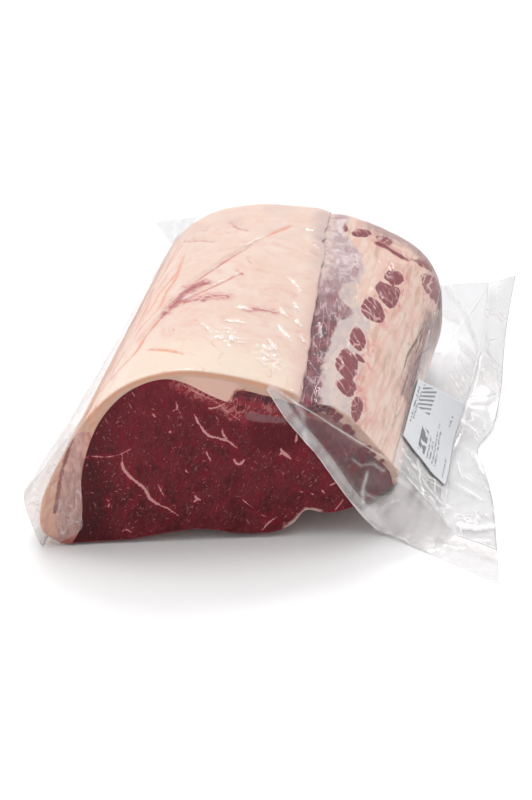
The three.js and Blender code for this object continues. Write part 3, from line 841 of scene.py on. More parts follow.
def lean_look():
    """Dark red lean with a fine grain, pale specks and veins of fat with bright red round them."""
    look = Look(bpy.data.materials.new("moist_lean"))
    grain_turn = (0, 20, 0)
    fibres = look.cells(1.5, (1, 1, 1.7), grain_turn, "Color")
    bundle = look.value("ShaderNodeSeparateColor", {"Color": fibres})
    fine = look.noise(0.9, 2, turn=grain_turn)
    patch = look.noise(16, 3, warp=0.4)
    red = look.noise(9, 4, (0.6, 1, 1.5), (0, 12, 0), 0.8).step(0.5, 0.66)
    colour = look.mix(patch.step(0.34, 0.66), (0.092, 0.0074, 0.0114), (0.174, 0.0143, 0.0222))
    strands = look.noise(1.6, 3, (0.5, 1, 2.6), (0, 14, 0), 0.5)
    colour.coat(strands.step(0.5, 0.68), (0.215, 0.034, 0.045), 0.7)
    colour.coat(bundle.step(0.4, 1.0), (0.19, 0.034, 0.043), 0.5)
    colour.coat(fine.step(0.5, 0.36), (0.034, 0.003, 0.005), 0.6)
    colour.coat(red, (0.22, 0.007, 0.02), 0.6)
    x, y, z = look.axes()
    colour.coat(z.step(0.055, 0.105), (0.18, 0.01, 0.022), 0.4)
    colour.coat(x.step(-0.058, -0.08), (0.035, 0.004, 0.005), 0.6)
    for size, stretch, turn, reach in ((2.6, (0.6, 1, 1.5), (0, 28, 0), 0.22),
                                       (3.4, (0.5, 1, 1.9), (0, -30, 0), 0.17),
                                       (5.0, (0.45, 1, 2.0), (0, 40, 0), 0.19),
                                       (7.5, (0.4, 1, 2.4), (0, -24, 0), 0.17),
                                       (6.5, (1.8, 1, 0.45), (0, 18, 0), 0.15)):
        speck = look.cells(size, stretch, turn)
        here = look.noise(size * 2.2, 2).step(0.44, 0.58)
        share = speck.step(reach, reach * 0.3) * (here * 0.85)
        colour.coat(share, (0.46, 0.19, 0.19))
    vein = look.wavy("vein", 1.6, 1.3, 3).shift(look.noise(5, 2), 1.6)
    red_near = look.wavy("vein", 9, 5, 4, warp=1.0)
    web = look.wavy("web", 9, 5, 4, warp=0.8).step(6.5, 1.5)
    colour.coat(red_near.step(3.6, -1.6), (0.24, 0.009, 0.026), 0.65)
    colour.coat(web, (0.29, 0.025, 0.04), 0.75)
    net = look.borders(5, 0.09, (0.6, 1, 1.5), (0, 40, 0), 1.4)
    colour.coat(net * web, (0.52, 0.19, 0.18), 0.7)
    deep = look.wavy("deep", 8, 6, 4, warp=0.6)
    colour.coat(deep.step(2.4, -3.4), (0.085, 0.0016, 0.007), 0.6)
    fascia = look.wavy("fascia", 2.2, 3, 3)
    grey_pink = look.mix(look.noise(2, 4, (0.5, 1, 3), (0, 13, 0)), (0.12, 0.03, 0.04), (0.34, 0.17, 0.18))
    colour.coat(fascia.step(0.5, -0.7), grey_pink, 0.85)
    colour.coat(vein.step(0.15, -0.35), (0.66, 0.32, 0.31), 0.92)
    face = look.mark("face").step(0.05, 0.5)
    edge = look.wavy("low_edge", 2.4, 4, 4)
    colour.coat(edge.step(1.9, 0.1), (0.36, 0.035, 0.055), 0.85)
    notch = look.wavy("notch", 2.6, 3, 3)
    colour.coat(notch.step(3.6, 1.6), (0.6, 0.32, 0.28))
    colour.coat(notch.step(2.0, 0.8), (0.66, 0.52, 0.48))
    skin = look.mix(look.noise(3, 4, (1, 8, 1)), (0.3, 0.12, 0.12), (0.5, 0.36, 0.34))
    cut_end = look.math("MAXIMUM", face, (y + look.noise(8, 3) * 0.01).step(0.128, 0.136))
    colour = look.mix(cut_end, skin, colour)
    grain = bundle * 0.5 + fine * 1.2
    return look.moist(colour, fine.between(0.34, 0.6), look.bump(grain, 0.22, 0.8), 0.16)


def fat_looks(look):
    """The colour of cut fat on the face, and of the fat on the outside."""
    cut = look.mix(look.noise(5, 3), (0.6, 0.36, 0.27), (0.66, 0.44, 0.35))
    soft = look.noise(18, 3, warp=0.5)
    pink = look.noise(9, 4, (1.4, 1, 1), warp=0.8).step(0.48, 0.75)
    outside = look.mix(soft.step(0.3, 0.7), (0.735, 0.53, 0.43), (0.755, 0.6, 0.505))
    outside.coat(pink, (0.68, 0.37, 0.31), 0.5)
    return cut, outside


def cap_look():
    """Cream fat with faint pink patches, a red bruise and thin red and orange creases."""
    look = Look(bpy.data.materials.new("cream_fat"))
    cut, outside = fat_looks(look)
    x, y, z = look.axes()
    # painted light: the fat lighter towards the front
    outside.coat(y.step(-0.06, -0.1), (0.8, 0.66, 0.53), 0.7)
    blotch = look.noise(5, 5, (1.5, 1, 1), warp=1.2)
    bruise = look.mark("bruise").shift(blotch, 19)
    outside.coat(bruise.step(6.5, -1.5), (0.56, 0.22, 0.21), 0.7)
    outside.coat(bruise.step(2.0, -3.0), (0.34, 0.05, 0.065), 0.85)
    orange = look.wavy("orange", 3.0, 4, 3)
    outside.coat(orange.step(2.0, -0.6), (0.72, 0.22, 0.11), 0.85)
    crease = look.wavy("crease", 3.0, 4, 4)
    outside.coat(crease.step(1.2, -0.6), (0.52, 0.11, 0.1), 0.8)
    thin = look.threads(26, 0.012, (1, 0.7, 1), (0, 0, -30))
    outside.coat(thin * look.noise(30, 2).step(0.45, 0.65), (0.66, 0.36, 0.28))
    left = x.step(-0.058, -0.085)
    outside.coat(left, (0.7, 0.475, 0.365), 0.7)
    streaks = look.noise(3, 4, (1, 12, 1), (0, 0, -6)).step(0.48, 0.66) * z.step(0.066, 0.084)
    outside.coat(left * (streaks * 0.9), (0.62, 0.23, 0.14))
    by_strip = look.wavy("strip", 5, 4, 4).step(-3.5, 0.6)
    lilac = y.step(0.05, 0.12) * look.noise(20, 3, warp=0.5).step(0.42, 0.62)
    outside.coat(lilac, (0.6, 0.46, 0.45), 0.4)
    # the fat by the strip pinker and darker: its own pink tone with painted shade where the edge rounds down
    shoulder = look.mark("strip").step(-14, -2) * y.step(0.07, -0.02)
    outside.coat(shoulder, (0.66, 0.41, 0.365), 0.55)
    outside.coat(by_strip, (0.52, 0.3, 0.27), 0.6)
    far_edge = look.wavy("strip", 16, 7, 4, warp=0.6).step(-14, -5)
    outside.coat(far_edge * y.step(0.02, 0.07), (0.62, 0.47, 0.43))
    rim = look.mark("rim")
    cut.coat(rim.shift(look.noise(6, 2), 3).step(4.5, 1.5), (0.74, 0.375, 0.24), 0.8)
    wedge = x.step(-0.03, -0.02) * x.step(0.01, 0.002)
    cut.coat(wedge * rim.step(3, 5), (0.79, 0.49, 0.4))
    low = (x + look.noise(9, 3) * 0.02).step(-0.05, -0.078)
    cut.coat(low, (0.76, 0.42, 0.28), 0.9)
    pink_streaks = look.noise(3.5, 4, (1, 1, 3), (0, 25, 0), 0.4).step(0.42, 0.62)
    cut.coat(low * pink_streaks, (0.56, 0.19, 0.13), 0.55)
    inner = look.wavy("tail_right", 5, 6, 3).step(-1.0, 2.5)
    brown = look.mix(look.noise(5, 4, (0.6, 1, 2)).step(0.4, 0.62), (0.72, 0.385, 0.32), (0.52, 0.23, 0.19))
    cut.coat(inner, brown)
    line = look.wavy("tail_line", 2.4, 4, 3)
    cut.coat(line.step(1.7, 0.5), (0.24, 0.018, 0.012))
    fringe = look.wavy("by_muscle", 3.5, 3, 4).step(2.4, 0.2)
    cut.coat(fringe, (0.38, 0.035, 0.05), 0.85)
    foot = (z + look.noise(6, 3) * 0.012).step(0.016, 0.009)
    cut.coat(foot, (0.38, 0.06, 0.05), 0.7)
    return look.skin(outside, cut, 0.42, look.noise(3, 3) + look.noise(0.8, 2) * 0.3, 0.25)


def chine_look(name):
    """Streaky pink fat with dark red ovals, and the purple muscle under its pale membrane."""
    look = Look(bpy.data.materials.new(name))
    cut, fat = fat_looks(look)
    x, y = look.axes()[:2]
    streaks = look.noise(3.2, 4, (1, 9, 1), (0, 0, -3), 0.3)
    fat.coat(streaks.step(0.42, 0.62), (0.72, 0.44, 0.36))
    tan = look.noise(4.4, 4, (1, 9, 1), (0, 0, 4))
    fat.coat(tan.step(0.52, 0.68), (0.52, 0.32, 0.22), 0.7)
    oval = look.mark("oval")
    right = look.mark("strip_right").step(13, 22)
    blush = look.noise(6, 5, (1, 1.6, 1), warp=1.0).step(0.42, 0.6)
    fat.coat(oval.shift(look.noise(6, 4), 16).step(11, -2) * blush * right, (0.62, 0.19, 0.17), 0.9)
    dots = look.cells(3.2, (1, 1.8, 1)).step(0.26, 0.1)
    fat.coat(dots * oval.shift(look.noise(8, 3), 18).step(9, 1) * right, (0.42, 0.05, 0.055), 0.85)
    strip_right = look.wavy("strip_right", 7, 5, 3, (1, 2, 1))
    band = look.mix(look.noise(6, 4, (1, 2, 1), warp=0.6).step(0.4, 0.62), (0.62, 0.49, 0.43),
                    (0.5, 0.41, 0.4))
    at_back = (y + look.noise(16, 3) * 0.06).step(0.01, 0.09)
    wisps = look.noise(3.6, 4, (0.6, 2.6, 1), (0, 0, 24), 0.6).step(0.5, 0.64)
    band.coat(at_back * wisps, (0.33, 0.24, 0.25), 0.8)
    band_edge = strip_right.shift(look.noise(7, 3), 7).shift(at_back, 20)
    band_here = band_edge.step(13.5, 7.5)
    fat.coat(band_here, band, 0.95)
    edge = oval.shift(look.noise(3, 4), 3.4)
    seams = look.borders(7, 0.06, (0.6, 2.4, 0.8), (0, 0, 38), 0.5)
    muscle = look.mix(look.noise(2.2, 3, (1, 3, 1), (0, 0, 35)), (0.145, 0.007, 0.016),
                      (0.25, 0.022, 0.036))
    muscle.coat(seams, (0.66, 0.38, 0.36), 0.75)
    fat.coat(edge.step(0.6, -0.4), muscle)
    border = edge.step(1.6, 0.7) * edge.step(-0.3, 0.3)
    fat.coat(border, (0.72, 0.5, 0.44), 0.6)
    # the lower side darker and browner: its own streaky colour with painted shade where it turns down
    mauve = look.wavy("mauve", 12, 9, 3)
    veined = look.mix(look.noise(3, 4, (0.5, 4, 1)).step(0.35, 0.65), (0.17, 0.062, 0.055),
                      (0.41, 0.235, 0.205))
    fat.coat(mauve.step(4, -5), veined, 0.85)
    patch = look.wavy("patch", 7, 3.4, 4, (0.5, 2.4, 1), (0, 0, -14))
    streaky = look.mix(look.noise(2.0, 3, (0.6, 4, 1), (0, 0, -14)), (0.12, 0.006, 0.014),
                       (0.36, 0.055, 0.065))
    fat.coat(patch.step(0.8, -0.8), streaky)
    pale = look.borders(6, 0.07, (0.5, 3, 1), (0, 0, -14), 0.5)
    fat.coat(pale * patch.step(1.5, -0.5), (0.62, 0.42, 0.38), 0.8)
    lens = look.wavy("lens", 5, 4, 4)
    fat.coat(lens.step(3.0, -0.5), (0.6, 0.27, 0.24), 0.7)
    fat.coat(lens.step(0.2, -1.4), (0.2, 0.012, 0.02))
    # painted shade: dark lines along the folds
    fold = look.wavy("fold", 1.8, 5, 4)
    fat.coat(fold.step(0.6, -0.3), (0.09, 0.025, 0.02), 0.9)
    # painted shade: thin dark wrinkle lines low on the side
    low_side = look.mark("strip_right").step(40, 55)
    wrinkle = look.threads(8, 0.014, (0.5, 8, 1), (0, 0, 6)) * low_side
    fat.coat(wrinkle, (0.24, 0.12, 0.1), 0.6)
    slabs = look.cells(9, (0.9, 1.5, 1), (0, 0, 30), "Color")
    slab = look.value("ShaderNodeSeparateColor", {"Color": slabs}, 1)
    purple = look.mix(look.noise(4, 4, (1, 2.4, 1), (0, 0, 8)).step(0.36, 0.64), (0.07, 0.005, 0.01),
                      (0.21, 0.022, 0.036))
    purple.coat(slab, (0.28, 0.12, 0.15), 0.25)
    veil = look.mix(look.noise(7, 4, (1, 1.8, 1), warp=0.6).step(0.4, 0.6), (0.48, 0.345, 0.345),
                    (0.74, 0.63, 0.61))
    veiled = (y + look.noise(14, 3) * 0.06).step(0.01, 0.105)
    purple.coat(veiled, veil, 0.9)
    red_spots = look.noise(5, 3, warp=0.8).step(0.6, 0.7)
    purple.coat(red_spots * veiled, (0.34, 0.05, 0.08), 0.6)
    net = look.borders(8, 0.05, (0.5, 4, 1), (0, 0, 8), 0.8)
    cross = look.borders(7, 0.045, (1.6, 1.0, 1), (0, 0, -25), 1.3)
    some = look.noise(11, 3).step(0.48, 0.62)
    lines = look.math("MAXIMUM", net, cross * some)
    purple.coat(lines, (0.6, 0.42, 0.43), 0.65)
    fat.coat(strip_right.step(1.2, -1.2), purple)
    left_edge = look.wavy("strip", 9, 6, 4, (1, 0.7, 1), warp=0.8).step(4.0, 0.0)
    left_edge = left_edge * y.step(0.02, 0.06)
    pale_fat = look.mix(look.noise(5, 4, warp=0.8).step(0.42, 0.62), (0.7, 0.53, 0.46), (0.5, 0.37, 0.36))
    fat.coat(left_edge, pale_fat)
    far_end = (y + look.noise(6, 4) * 0.012).step(0.112, 0.124) * x.step(0.035, 0.055)
    dusky = look.mix(look.noise(3, 4, (3, 1, 1), (0, 0, 20)), (0.2, 0.08, 0.09), (0.46, 0.31, 0.3))
    fat.coat(far_end, dusky, 0.8)
    island = look.wavy("island", 4.5, 3, 4)
    cut.coat(look.noise(6, 3).step(0.4, 0.7), (0.4, 0.2, 0.15), 0.7)
    deep = look.wavy("from_side", 2.4, 4, 3).step(4.2, 6.0)
    cut.coat(deep, (0.2, 0.045, 0.05), 0.8)
    cut.coat(island.step(0.7, -0.6), (0.19, 0.01, 0.018))
    return look, cut, fat


def side_fat_look():
    """The streaky fat, on the outside and on the cut face."""
    look, cut, fat = chine_look("chine_fat")
    return look.skin(fat, cut, 0.4, look.noise(2.4, 4, (1, 7, 1)) + look.noise(1, 2) * 0.4, 0.35)


def side_muscle_look():
    """The same outside as the fat beside it, and on the cut face dark, bright and pale bands."""
    look, cut, fat = chine_look("strip_muscle")
    x, _, z = look.axes()
    height = z + x * 0.27            # up from the muscle's sloping lower side
    meat = look.mix(look.noise(2.4, 4, (2.4, 1, 1), (0, 15, 0), 0.6).step(0.34, 0.66), (0.04, 0.003, 0.006),
                    (0.24, 0.014, 0.03))
    upper = height.shift(look.noise(5, 4, (3, 1, 1)), 0.009).step(0.101, 0.104)
    meat.coat(upper, (0.05, 0.006, 0.01), 0.5)
    above = height.shift(look.noise(4, 4), 0.006).step(0.0945, 0.0965)
    below = height.shift(look.noise(5, 4), 0.008).step(0.102, 0.0985)
    meat.coat(above * below, (0.26, 0.006, 0.02), 0.85)
    fascia = height.shift(look.noise(6, 3), 0.004).step(0.0958, 0.0942)
    grey_pink = look.mix(look.noise(2, 4, (4, 1, 1), (0, 15, 0)), (0.16, 0.05, 0.06), (0.36, 0.19, 0.2))
    meat.coat(fascia, grey_pink, 0.85)
    strands = look.borders(5, 0.06, (0.5, 1, 2.2), (0, 16, 0), 0.9)
    meat.coat(strands, (0.5, 0.19, 0.18), 0.55)
    island = look.wavy("island", 2.2, 3, 3)
    side = x.step(0.046, 0.05) * island.step(-0.4, 0.7)
    meat.coat(side, cut, 0.8)
    return look.skin(fat, meat, 0.36, look.noise(2, 4, (1, 3, 1)), 0.25)


def film_look(name, tint, wrinkle_size, wrinkle_height, stretch=(1, 1, 1), turn=(0, 0, 0), shine=0.035,
              crinkle_shade_and_highlight=0.0, crinkle_size=24, edge_gloss=0.7, milk_and_light_colour=(0.96, 0.94, 0.94)):
    """Clear glossy film. It is milky and carries painted highlights and painted light, is greyer with painted
    shade, or is folded to a flat side, where the piece is marked so.
    Crinkle is how strong the fine dark lines of painted shade and bright lines of painted highlight along its
    folds are."""
    look = Look(bpy.data.materials.new(name))
    wrinkles = look.noise(wrinkle_size, 2, stretch, turn, 0.5) * wrinkle_height
    beside = look.mark("beside")
    streak = beside.ramp(3.0, 0.0) * beside.ramp(-2.0, 0.0) * look.mark("streak")
    normal = look.bump(wrinkles + streak, 1.0)
    facing = look.value("ShaderNodeLayerWeight", {"Blend": 0.5, "Normal": normal}, "Facing")
    gloss_share = look.math("POWER", facing, 5.0) * edge_gloss + shine
    # the white layer's share: the film's milkiness together with painted highlights and painted light
    milk_and_painted_light = look.mark("haze_and_painted_light") * look.noise(9, 1, stretch, turn).step(0.0, 0.7)
    # painted shade: the film looks greyer where the piece is marked
    grey = look.mark("shade")
    if crinkle_shade_and_highlight:
        longer = (stretch[0], 2 * stretch[1], stretch[2])
        some = look.noise(crinkle_size, 2).step(0.45, 0.62)
        # dark threads are painted shade and bright threads painted highlights, along the folds
        dark = look.threads(crinkle_size, 0.014, longer, turn) * some
        bright = look.threads(crinkle_size * 0.8, 0.018, longer, turn) * some
        grey = grey + dark * (0.5 * crinkle_shade_and_highlight)
        milk_and_painted_light = milk_and_painted_light + bright * (0.7 * crinkle_shade_and_highlight)
    through = look.mix(grey, (tint, tint, tint + 0.003), (0.55, 0.55, 0.56))
    clear = look.value("ShaderNodeBsdfTransparent", {"Color": through})
    white = look.value("ShaderNodeBsdfDiffuse", {"Color": milk_and_light_colour, "Normal": normal})
    shiny = {"Color": (1.0, 1.0, 1.0), "Roughness": 0.12, "Normal": normal}
    gloss = look.value("ShaderNodeBsdfGlossy", shiny)
    dull = look.value("ShaderNodeMixShader", {0: milk_and_painted_light, 1: clear, 2: white})
    film = look.value("ShaderNodeMixShader", {0: gloss_share, 1: dull, 2: gloss})
    return look.surface(film)


# The bag

STREAKS = [                      # ridges with one flat side in the film over the cap, with a painted highlight on that side: a line and its height
    ([(10, 21, 112), (18, 13, 110), (28, 0, 106)], 0.9), ([(20, -9, 109), (24, -15, 108)], 0.8),
    ([(13, -20, 111), (18, -27, 110)], 0.7), ([(24, -27, 108), (28, -32, 107)], 0.8),
    ([(16, -41, 110), (26, -53, 107)], 0.9), ([(30, -42, 105), (33, -47, 104)], 0.8),
    ([(14, -61, 111), (19, -69, 109)], 0.8), ([(35, -52, 102), (37, -62, 99)], 0.7),
    ([(-12, -32, 116), (-3, -32, 114)], 0.8), ([(-15, -52, 116), (-5, -50, 115)], 0.6),
    ([(-27, -61, 117), (-22, -67, 117)], 0.6), ([(9, 89, 114), (16, 88, 113)], 0.8),
    ([(30, 63, 105), (37, 54, 104)], 0.9), ([(38, -20, 103), (42, -34, 100)], 0.7),
]
RIDGES = [                       # sharp ridges in the film over the cap, with a painted highlight along their crest
    (RED_CREASES[1][0], 0.5),
    ([(-25, 51, 116), (-20, 62, 116), (-13, 73, 116)], 0.4),
]
# bubbly patches in the film over the cap, with painted sparkles of highlight: a centre and its reach
BUBBLES = [((-12, -72, 117), 9), ((-4, -74, 116), 6), ((12, -74, 112), 9), ((20, -86, 109), 8)]


def film_columns(along, names, counts):
    """The film's section as rows of points. Names and counts pick its parts."""
    side_to = lerp(SIDE_TO[0], SIDE_TO[1], np.asarray(along))
    parts = {"fin": section("fin", 60, along),
             "cap": offset(section("cap_outer", 100, along, CAP_FROM, CAP_TO), FILM_GAP),
             "muscle": offset(section("muscle_outer", 8, along, MUSCLE_FROM, 1), FILM_GAP),
             "side": offset(np.stack([section("side_outer", 60, [a], 0, to)[0]
                                      for a, to in zip(along, side_to)]), FILM_GAP)}
    rows = [parts[name][:, (1 if k else 0):] for k, name in enumerate(names)]
    return resample(np.concatenate(rows, 1), counts)


def film_grid(names, columns, row_step):
    """A sheet of film drawn over the loin and its far end, in mm, from the front to the foot."""
    along, angle = loin_rows(row_step, near_face=(0, 0.8, 1.6))
    rows = film_columns(along, names, columns)
    grid = place(rows, along, angle, FILM_GAP)
    grid[..., 1] += np.maximum(0, FIN_REACH - rows[..., 0]) * FIN_CUT * (1 - along[:, None])
    if names[0] == "fin":
        grid[:, 0, 0], grid[:, 0, 2] = rows[:, 0, 0], rows[:, 0, 1]
    grid[0, :, 1] -= FOLD_GAP
    return grid


def grid_normals(grid):
    """The normals of a sheet, up or out of its front."""
    normals = np.cross(np.gradient(grid, axis=1), np.gradient(grid, axis=0))
    return normals / (np.linalg.norm(normals, axis=2, keepdims=True) + 1e-9)


def add_wall(made, thickness):
    wall = made.modifiers.new("wall", "SOLIDIFY")
    wall.thickness = thickness * MM
    wall.offset = 0


def shares(grid, axis):
    """How far each point of a grid is down its rows or along them, from 0 to 1."""
    return np.indices(grid.shape[:2])[axis] / (grid.shape[axis] - 1)


def ruled(start, end, across):
    """A grid between two lines, with its columns at these shares of the way across."""
    return lerp(start[:, None], end[:, None], np.asarray(across)[None, :, None])


def sheet(name, grid, **marked):
    """A piece of film over a grid of points in mm, of one thin solid wall, with its marks."""
    made = mesh_object(name, grid.reshape(-1, 3), quads(*grid.shape[:2]))
    paint(made, **{mark: np.broadcast_to(values, grid.shape[:2]).ravel() for mark, values in marked.items()})
    add_wall(made, FILM)
    return made


def raised(grid, height):
    return grid + grid_normals(grid) * height[..., None]


def streak_marks(points):
    """How far points lie to the lit side of the nearest streak, and the height of the streak there."""
    nearest = beside = np.full(points.shape[:-1], 12.0)
    high = np.zeros(points.shape[:-1])
    for line, top in STREAKS:
        line = np.array(line, float)
        far, share = distance_to(points, line)
        steps = np.concatenate([[0], np.cumsum(np.linalg.norm(np.diff(line, axis=0), axis=1))])
        foot = np.stack([np.interp(share, steps / steps[-1], c) for c in line.T], -1)
        run = line[-1] - line[0]
        to_side = np.array([run[1], -run[0], 0]) / math.hypot(run[0], run[1])
        to_side *= -np.sign(to_side @ (0.5, 0.86, 0))
        closer = far < nearest
        nearest = np.where(closer, far, nearest)
        beside = np.where(closer, np.sign((points - foot) @ to_side) * far, beside)
        high = np.where(closer, top * np.sin(np.clip(share, 0, 1) * math.pi) ** 0.5, high)
    return beside, high


def top_sheet():
    """The film over the cap and the strip, with its streaks, ridges and bubbly patches, and their painted
    highlights.
    """
    grid = film_grid(["cap", "muscle", "side"], 170, 1.25)
    beside, high = streak_marks(grid)
    height = 0.5 * high * peak(beside, 2.0) + 0.12 * (1 + layered_noise(grid, 12, 32))
    # painted highlight on the lit flat side of each streak
    haze_and_painted_light = 0.01 + 0.45 * (high > 0) * smoothstep(beside, -0.2, 0.5) * smoothstep(beside, 2.4, 1.2)
    for line, top in RIDGES:
        far = far_from(grid, line)
        height += top * peak(far, 1.1)
        # painted highlight along each ridge's crest
        haze_and_painted_light += 0.45 * peak(far, 0.8) * smoothstep(lattice_noise(grid, 6, 35), -0.4, 0.3)
    for centre, reach in BUBBLES:
        here = peak(np.linalg.norm((grid - centre) * (1, 0.8, 1), axis=-1), reach, 4)
        height += here * 0.9 * (0.25 + lattice_noise(grid, 4.5, 31))
        # painted sparkles of highlight in the bubbly patches
        haze_and_painted_light += 0.22 * here * smoothstep(lattice_noise(grid, 3.5, 33), 0.0, 0.35)
    return raised(grid, height), {"haze_and_painted_light": haze_and_painted_light, "beside": beside, "streak": 0.9 * high}


def fin_sheet():
    """The fin of spare film along the left, with soft waves."""
    grid = film_grid(["fin"], 46, 2.5)
    wave = layered_noise(grid * (1, 0.3, 1), 14, 41)
    return raised(grid, 1.6 * wave * np.sin(shares(grid, 1) * math.pi))


def fin_marks(grid):
    """The fin's milkiness, with a painted highlight band and edge, and painted grey shade over it and along
    its outline.
    """
    along, across = shares(grid, 0), shares(grid, 1)
    band = smoothstep(across, 0.10, 0.16) * smoothstep(across, 0.50, 0.22) * smoothstep(along, 0.8, 0.2)
    lines = np.abs(lattice_noise(grid * (1, 0.08, 1), 5, 43))
    # painted highlights: a band, the outer edge and thin streaks, over the fin's milkiness
    haze_and_painted_light = 0.16 + 0.10 * band + 0.25 * peak(across - 0.02, 0.02)
    haze_and_painted_light += 0.3 * smoothstep(lines, 0.06, 0.01) * smoothstep(across, 0.3, 0.6)
    # painted shade: grey over most of the fin and along its outer edge
    shade = 0.11 * smoothstep(across, 0.95, 0.6) + 0.4 * smoothstep(across, 0.02, 0)
    return {"haze_and_painted_light": haze_and_painted_light * smoothstep(across, 1, 0.94), "shade": shade}


def flap_rows(side):
    """The loose flap: rows from front to back, columns from the meat over the seam to the edge."""
    along = np.linspace(0, 1, FLAP_ROWS)
    start, seam, edge = side.at(along), Curve(SEAM).at_point(along), Curve(FLAP_EDGE).at_point(along)
    inner = np.linspace(0, 1, SEAM_COLUMN + 1)
    outer = np.linspace(0, 1, EDGE_COLUMN - SEAM_COLUMN + 1)[1:]
    return np.concatenate([ruled(start, seam, inner), ruled(seam, edge, outer)], 1)


FLAP_LINE = [(101, 118, 67), (107, 115, 60), (113, 114, 53), (122, 107, 40), (129, 100, 29), (129, 85, 21),
             (126, 67, 14), (125, 35, 7), (122, 5, 6), (122, -31, 6), (124, -62, 6), (128, -81, 8),
             (134, -91, 3), (147, -112, 2), (157, -124, 1)]     # the weld that shows along the flap
FLAP_FOLDS = [                   # folds with a painted grey line of shade and a painted highlight beside it, seen from above, and how high they stand
    ([(99, -66), (112, -65), (126, -60)], 1.3), ([(104, -66), (113, -56), (122, -42)], 1.1),
    ([(101, -90), (112, -90), (124, -88)], 1.2), ([(99, -80), (112, -78), (128, -80)], 1.0),
    ([(134, -20), (148, -31)], 0.8), ([(136, 8), (143, -12), (149, -30)], 0.8),
    ([(126, 30), (136, 34), (146, 28)], 0.8), ([(128, 60), (138, 62), (147, 72)], 0.9),
    ([(106, -88), (113, -84), (118, -76), (123, -68)], 1.2), ([(134, -68), (146, -66), (156, -60)], 0.8),
    ([(136, -100), (148, -108), (158, -122)], 0.7),
]
FLAP_GLINTS = [                  # painted highlights as bright patches: lines seen from above, and their half width
    ([(118, 88), (124, 92)], 2.6), ([(119, 79), (124, 81)], 2.2), ([(118, 68), (123, 70)], 2.4),
    ([(115, 57), (121, 60)], 2.0),
    ([(130, 132), (137, 128), (143, 118)], 1.6), ([(133, 86), (139, 80), (144, 73), (146, 66)], 1.5),
    ([(136, 80), (142, 75)], 2.4), ([(129, -31), (146, -44)], 0.9), ([(137, 6), (144, -14)], 0.8),
    ([(136, -76), (146, -78), (156, -72)], 2.4), ([(137, -94), (155, -89)], 1.3),
    ([(145, -106), (155, -113)], 1.6), ([(113, -68), (124, -64)], 1.0), ([(105, 96), (112, 101)], 2.5),
]


def flap_relief(grid):
    """Folds, soft dents and the ridge of the seam."""
    seam = peak(far_from(grid, Curve(FLAP_LINE).line), 1.1)
    height = 1.6 * layered_noise(grid * (1, 0.5, 1), 26, 52, 2) + 0.9 * seam
    for line, high in FLAP_FOLDS:
        height += high * peak(far_from(grid[..., :2], line), 2.2)
    fade = smoothstep(shares(grid, 1), 0, 0.15) * smoothstep(grid[..., 2], -0.5, 5)
    return np.maximum(height * fade + 0.6 * seam, 0.5 - grid[..., 2])


def flap_marks(grid):
    """The flap's painted highlights and painted shade: lines along its seam and folds, round its outer edge,
    and bright patches.
    """
    seam = far_from(grid, Curve(FLAP_LINE).line)
    from_above, along, across = grid[..., :2], grid[..., 1], shares(grid, 1)
    # painted light over all but the far end, more at the front, and a painted highlight beside the seam
    haze_and_painted_light = 0.02 + 0.09 * smoothstep(along, 80, 40) + 0.10 * smoothstep(along, -30, -70)
    haze_and_painted_light += 0.35 * peak(seam - 1.5, 1.0)
    # painted shade: grey along the seam, at the outer edge, over the far end and past the middle
    shade = 0.35 * peak(seam, 0.9) + 0.6 * smoothstep(across, 0.985, 1)
    shade += 0.20 * smoothstep(along, 70, 110) + 0.14 * smoothstep(across, 0.52, 0.62)
    # each fold: a painted grey line of shade, and a painted highlight beside it
    for line, high in FLAP_FOLDS:
        far = far_from(from_above, line)
        shade += 0.25 * high * peak(far, 0.8)
        haze_and_painted_light += 0.30 * high * peak(far - 1.4, 0.7)
    # painted highlights: the bright patches
    broken = 0.9 + 0.5 * lattice_noise(from_above, 5, 57)
    for line, half in FLAP_GLINTS:
        haze_and_painted_light += 0.8 * broken * peak(far_from(from_above, line), half, 4)
    return {"haze_and_painted_light": np.clip(haze_and_painted_light, 0, 0.9), "shade": shade}


def front_sheet(top, flap):
    """The film in front of the fold: it hangs over the right of the face and lies on the floor."""
    hanging = top[0][top[0][:, 0] > HANG_FROM]
    fold = np.vstack([hanging, flap[0, 1:]])
    edge = [(x, face_y(x) - HANG_GAP, z) for x, z in FREE_EDGE] + FREE_CORNERS
    count = len(hanging)
    share = np.concatenate([np.linspace(0, FREE_SHARE_AT_SIDE, count),
                            np.linspace(FREE_SHARE_AT_SIDE, 1, len(fold) - count + 1)[1:]])
    free = Curve(edge).at(share)
    near_edge = [0, 0.006, 0.012, 0.022, 0.035]
    return ruled(free, fold, [*near_edge, *np.linspace(0.05, 1, 105)]).swapaxes(0, 1)


CHORD = [(30, 103), (60, 80), (97, 50)]                  # the crease from the rim to the corner, with a painted highlight along it
BANDS = [                                                # folds on the hanging film, each with a painted highlight
    ([(38, 98), (43, 88), (43.5, 76), (46, 61), (57, 40), (75, 19), (88, 4)], 1.6, 0.22),
    ([(33, 96), (40, 82), (55, 60), (74, 31), (92, 4)], 3.0, 0.10),
    ([(80.6, 46), (79, 38), (78, 32), (79, 25)], 0.9, 0.35),
    ([(72.8, 55), (77, 51), (84, 52), (90, 47)], 1.1, 0.25),
    ([(78, 32), (86, 27), (96, 26)], 1.2, 0.2),
    ([(82, 16), (90.6, 22.5), (99, 26)], 0.9, 0.3),
    ([(98.3, 41), (106, 35), (112, 29), (118, 21)], 1.6, 0.3),
    ([(81, 17), (85, 13), (89, 9)], 1.0, 0.25),
]
LOW_EDGE = [(52, 2), (66, 7), (80, 21), (95, 32), (98.5, 38), (99.5, 120)]   # of the lean, at its right
CHINE_CORNER = (104, -92)        # below it the film gets the most painted light
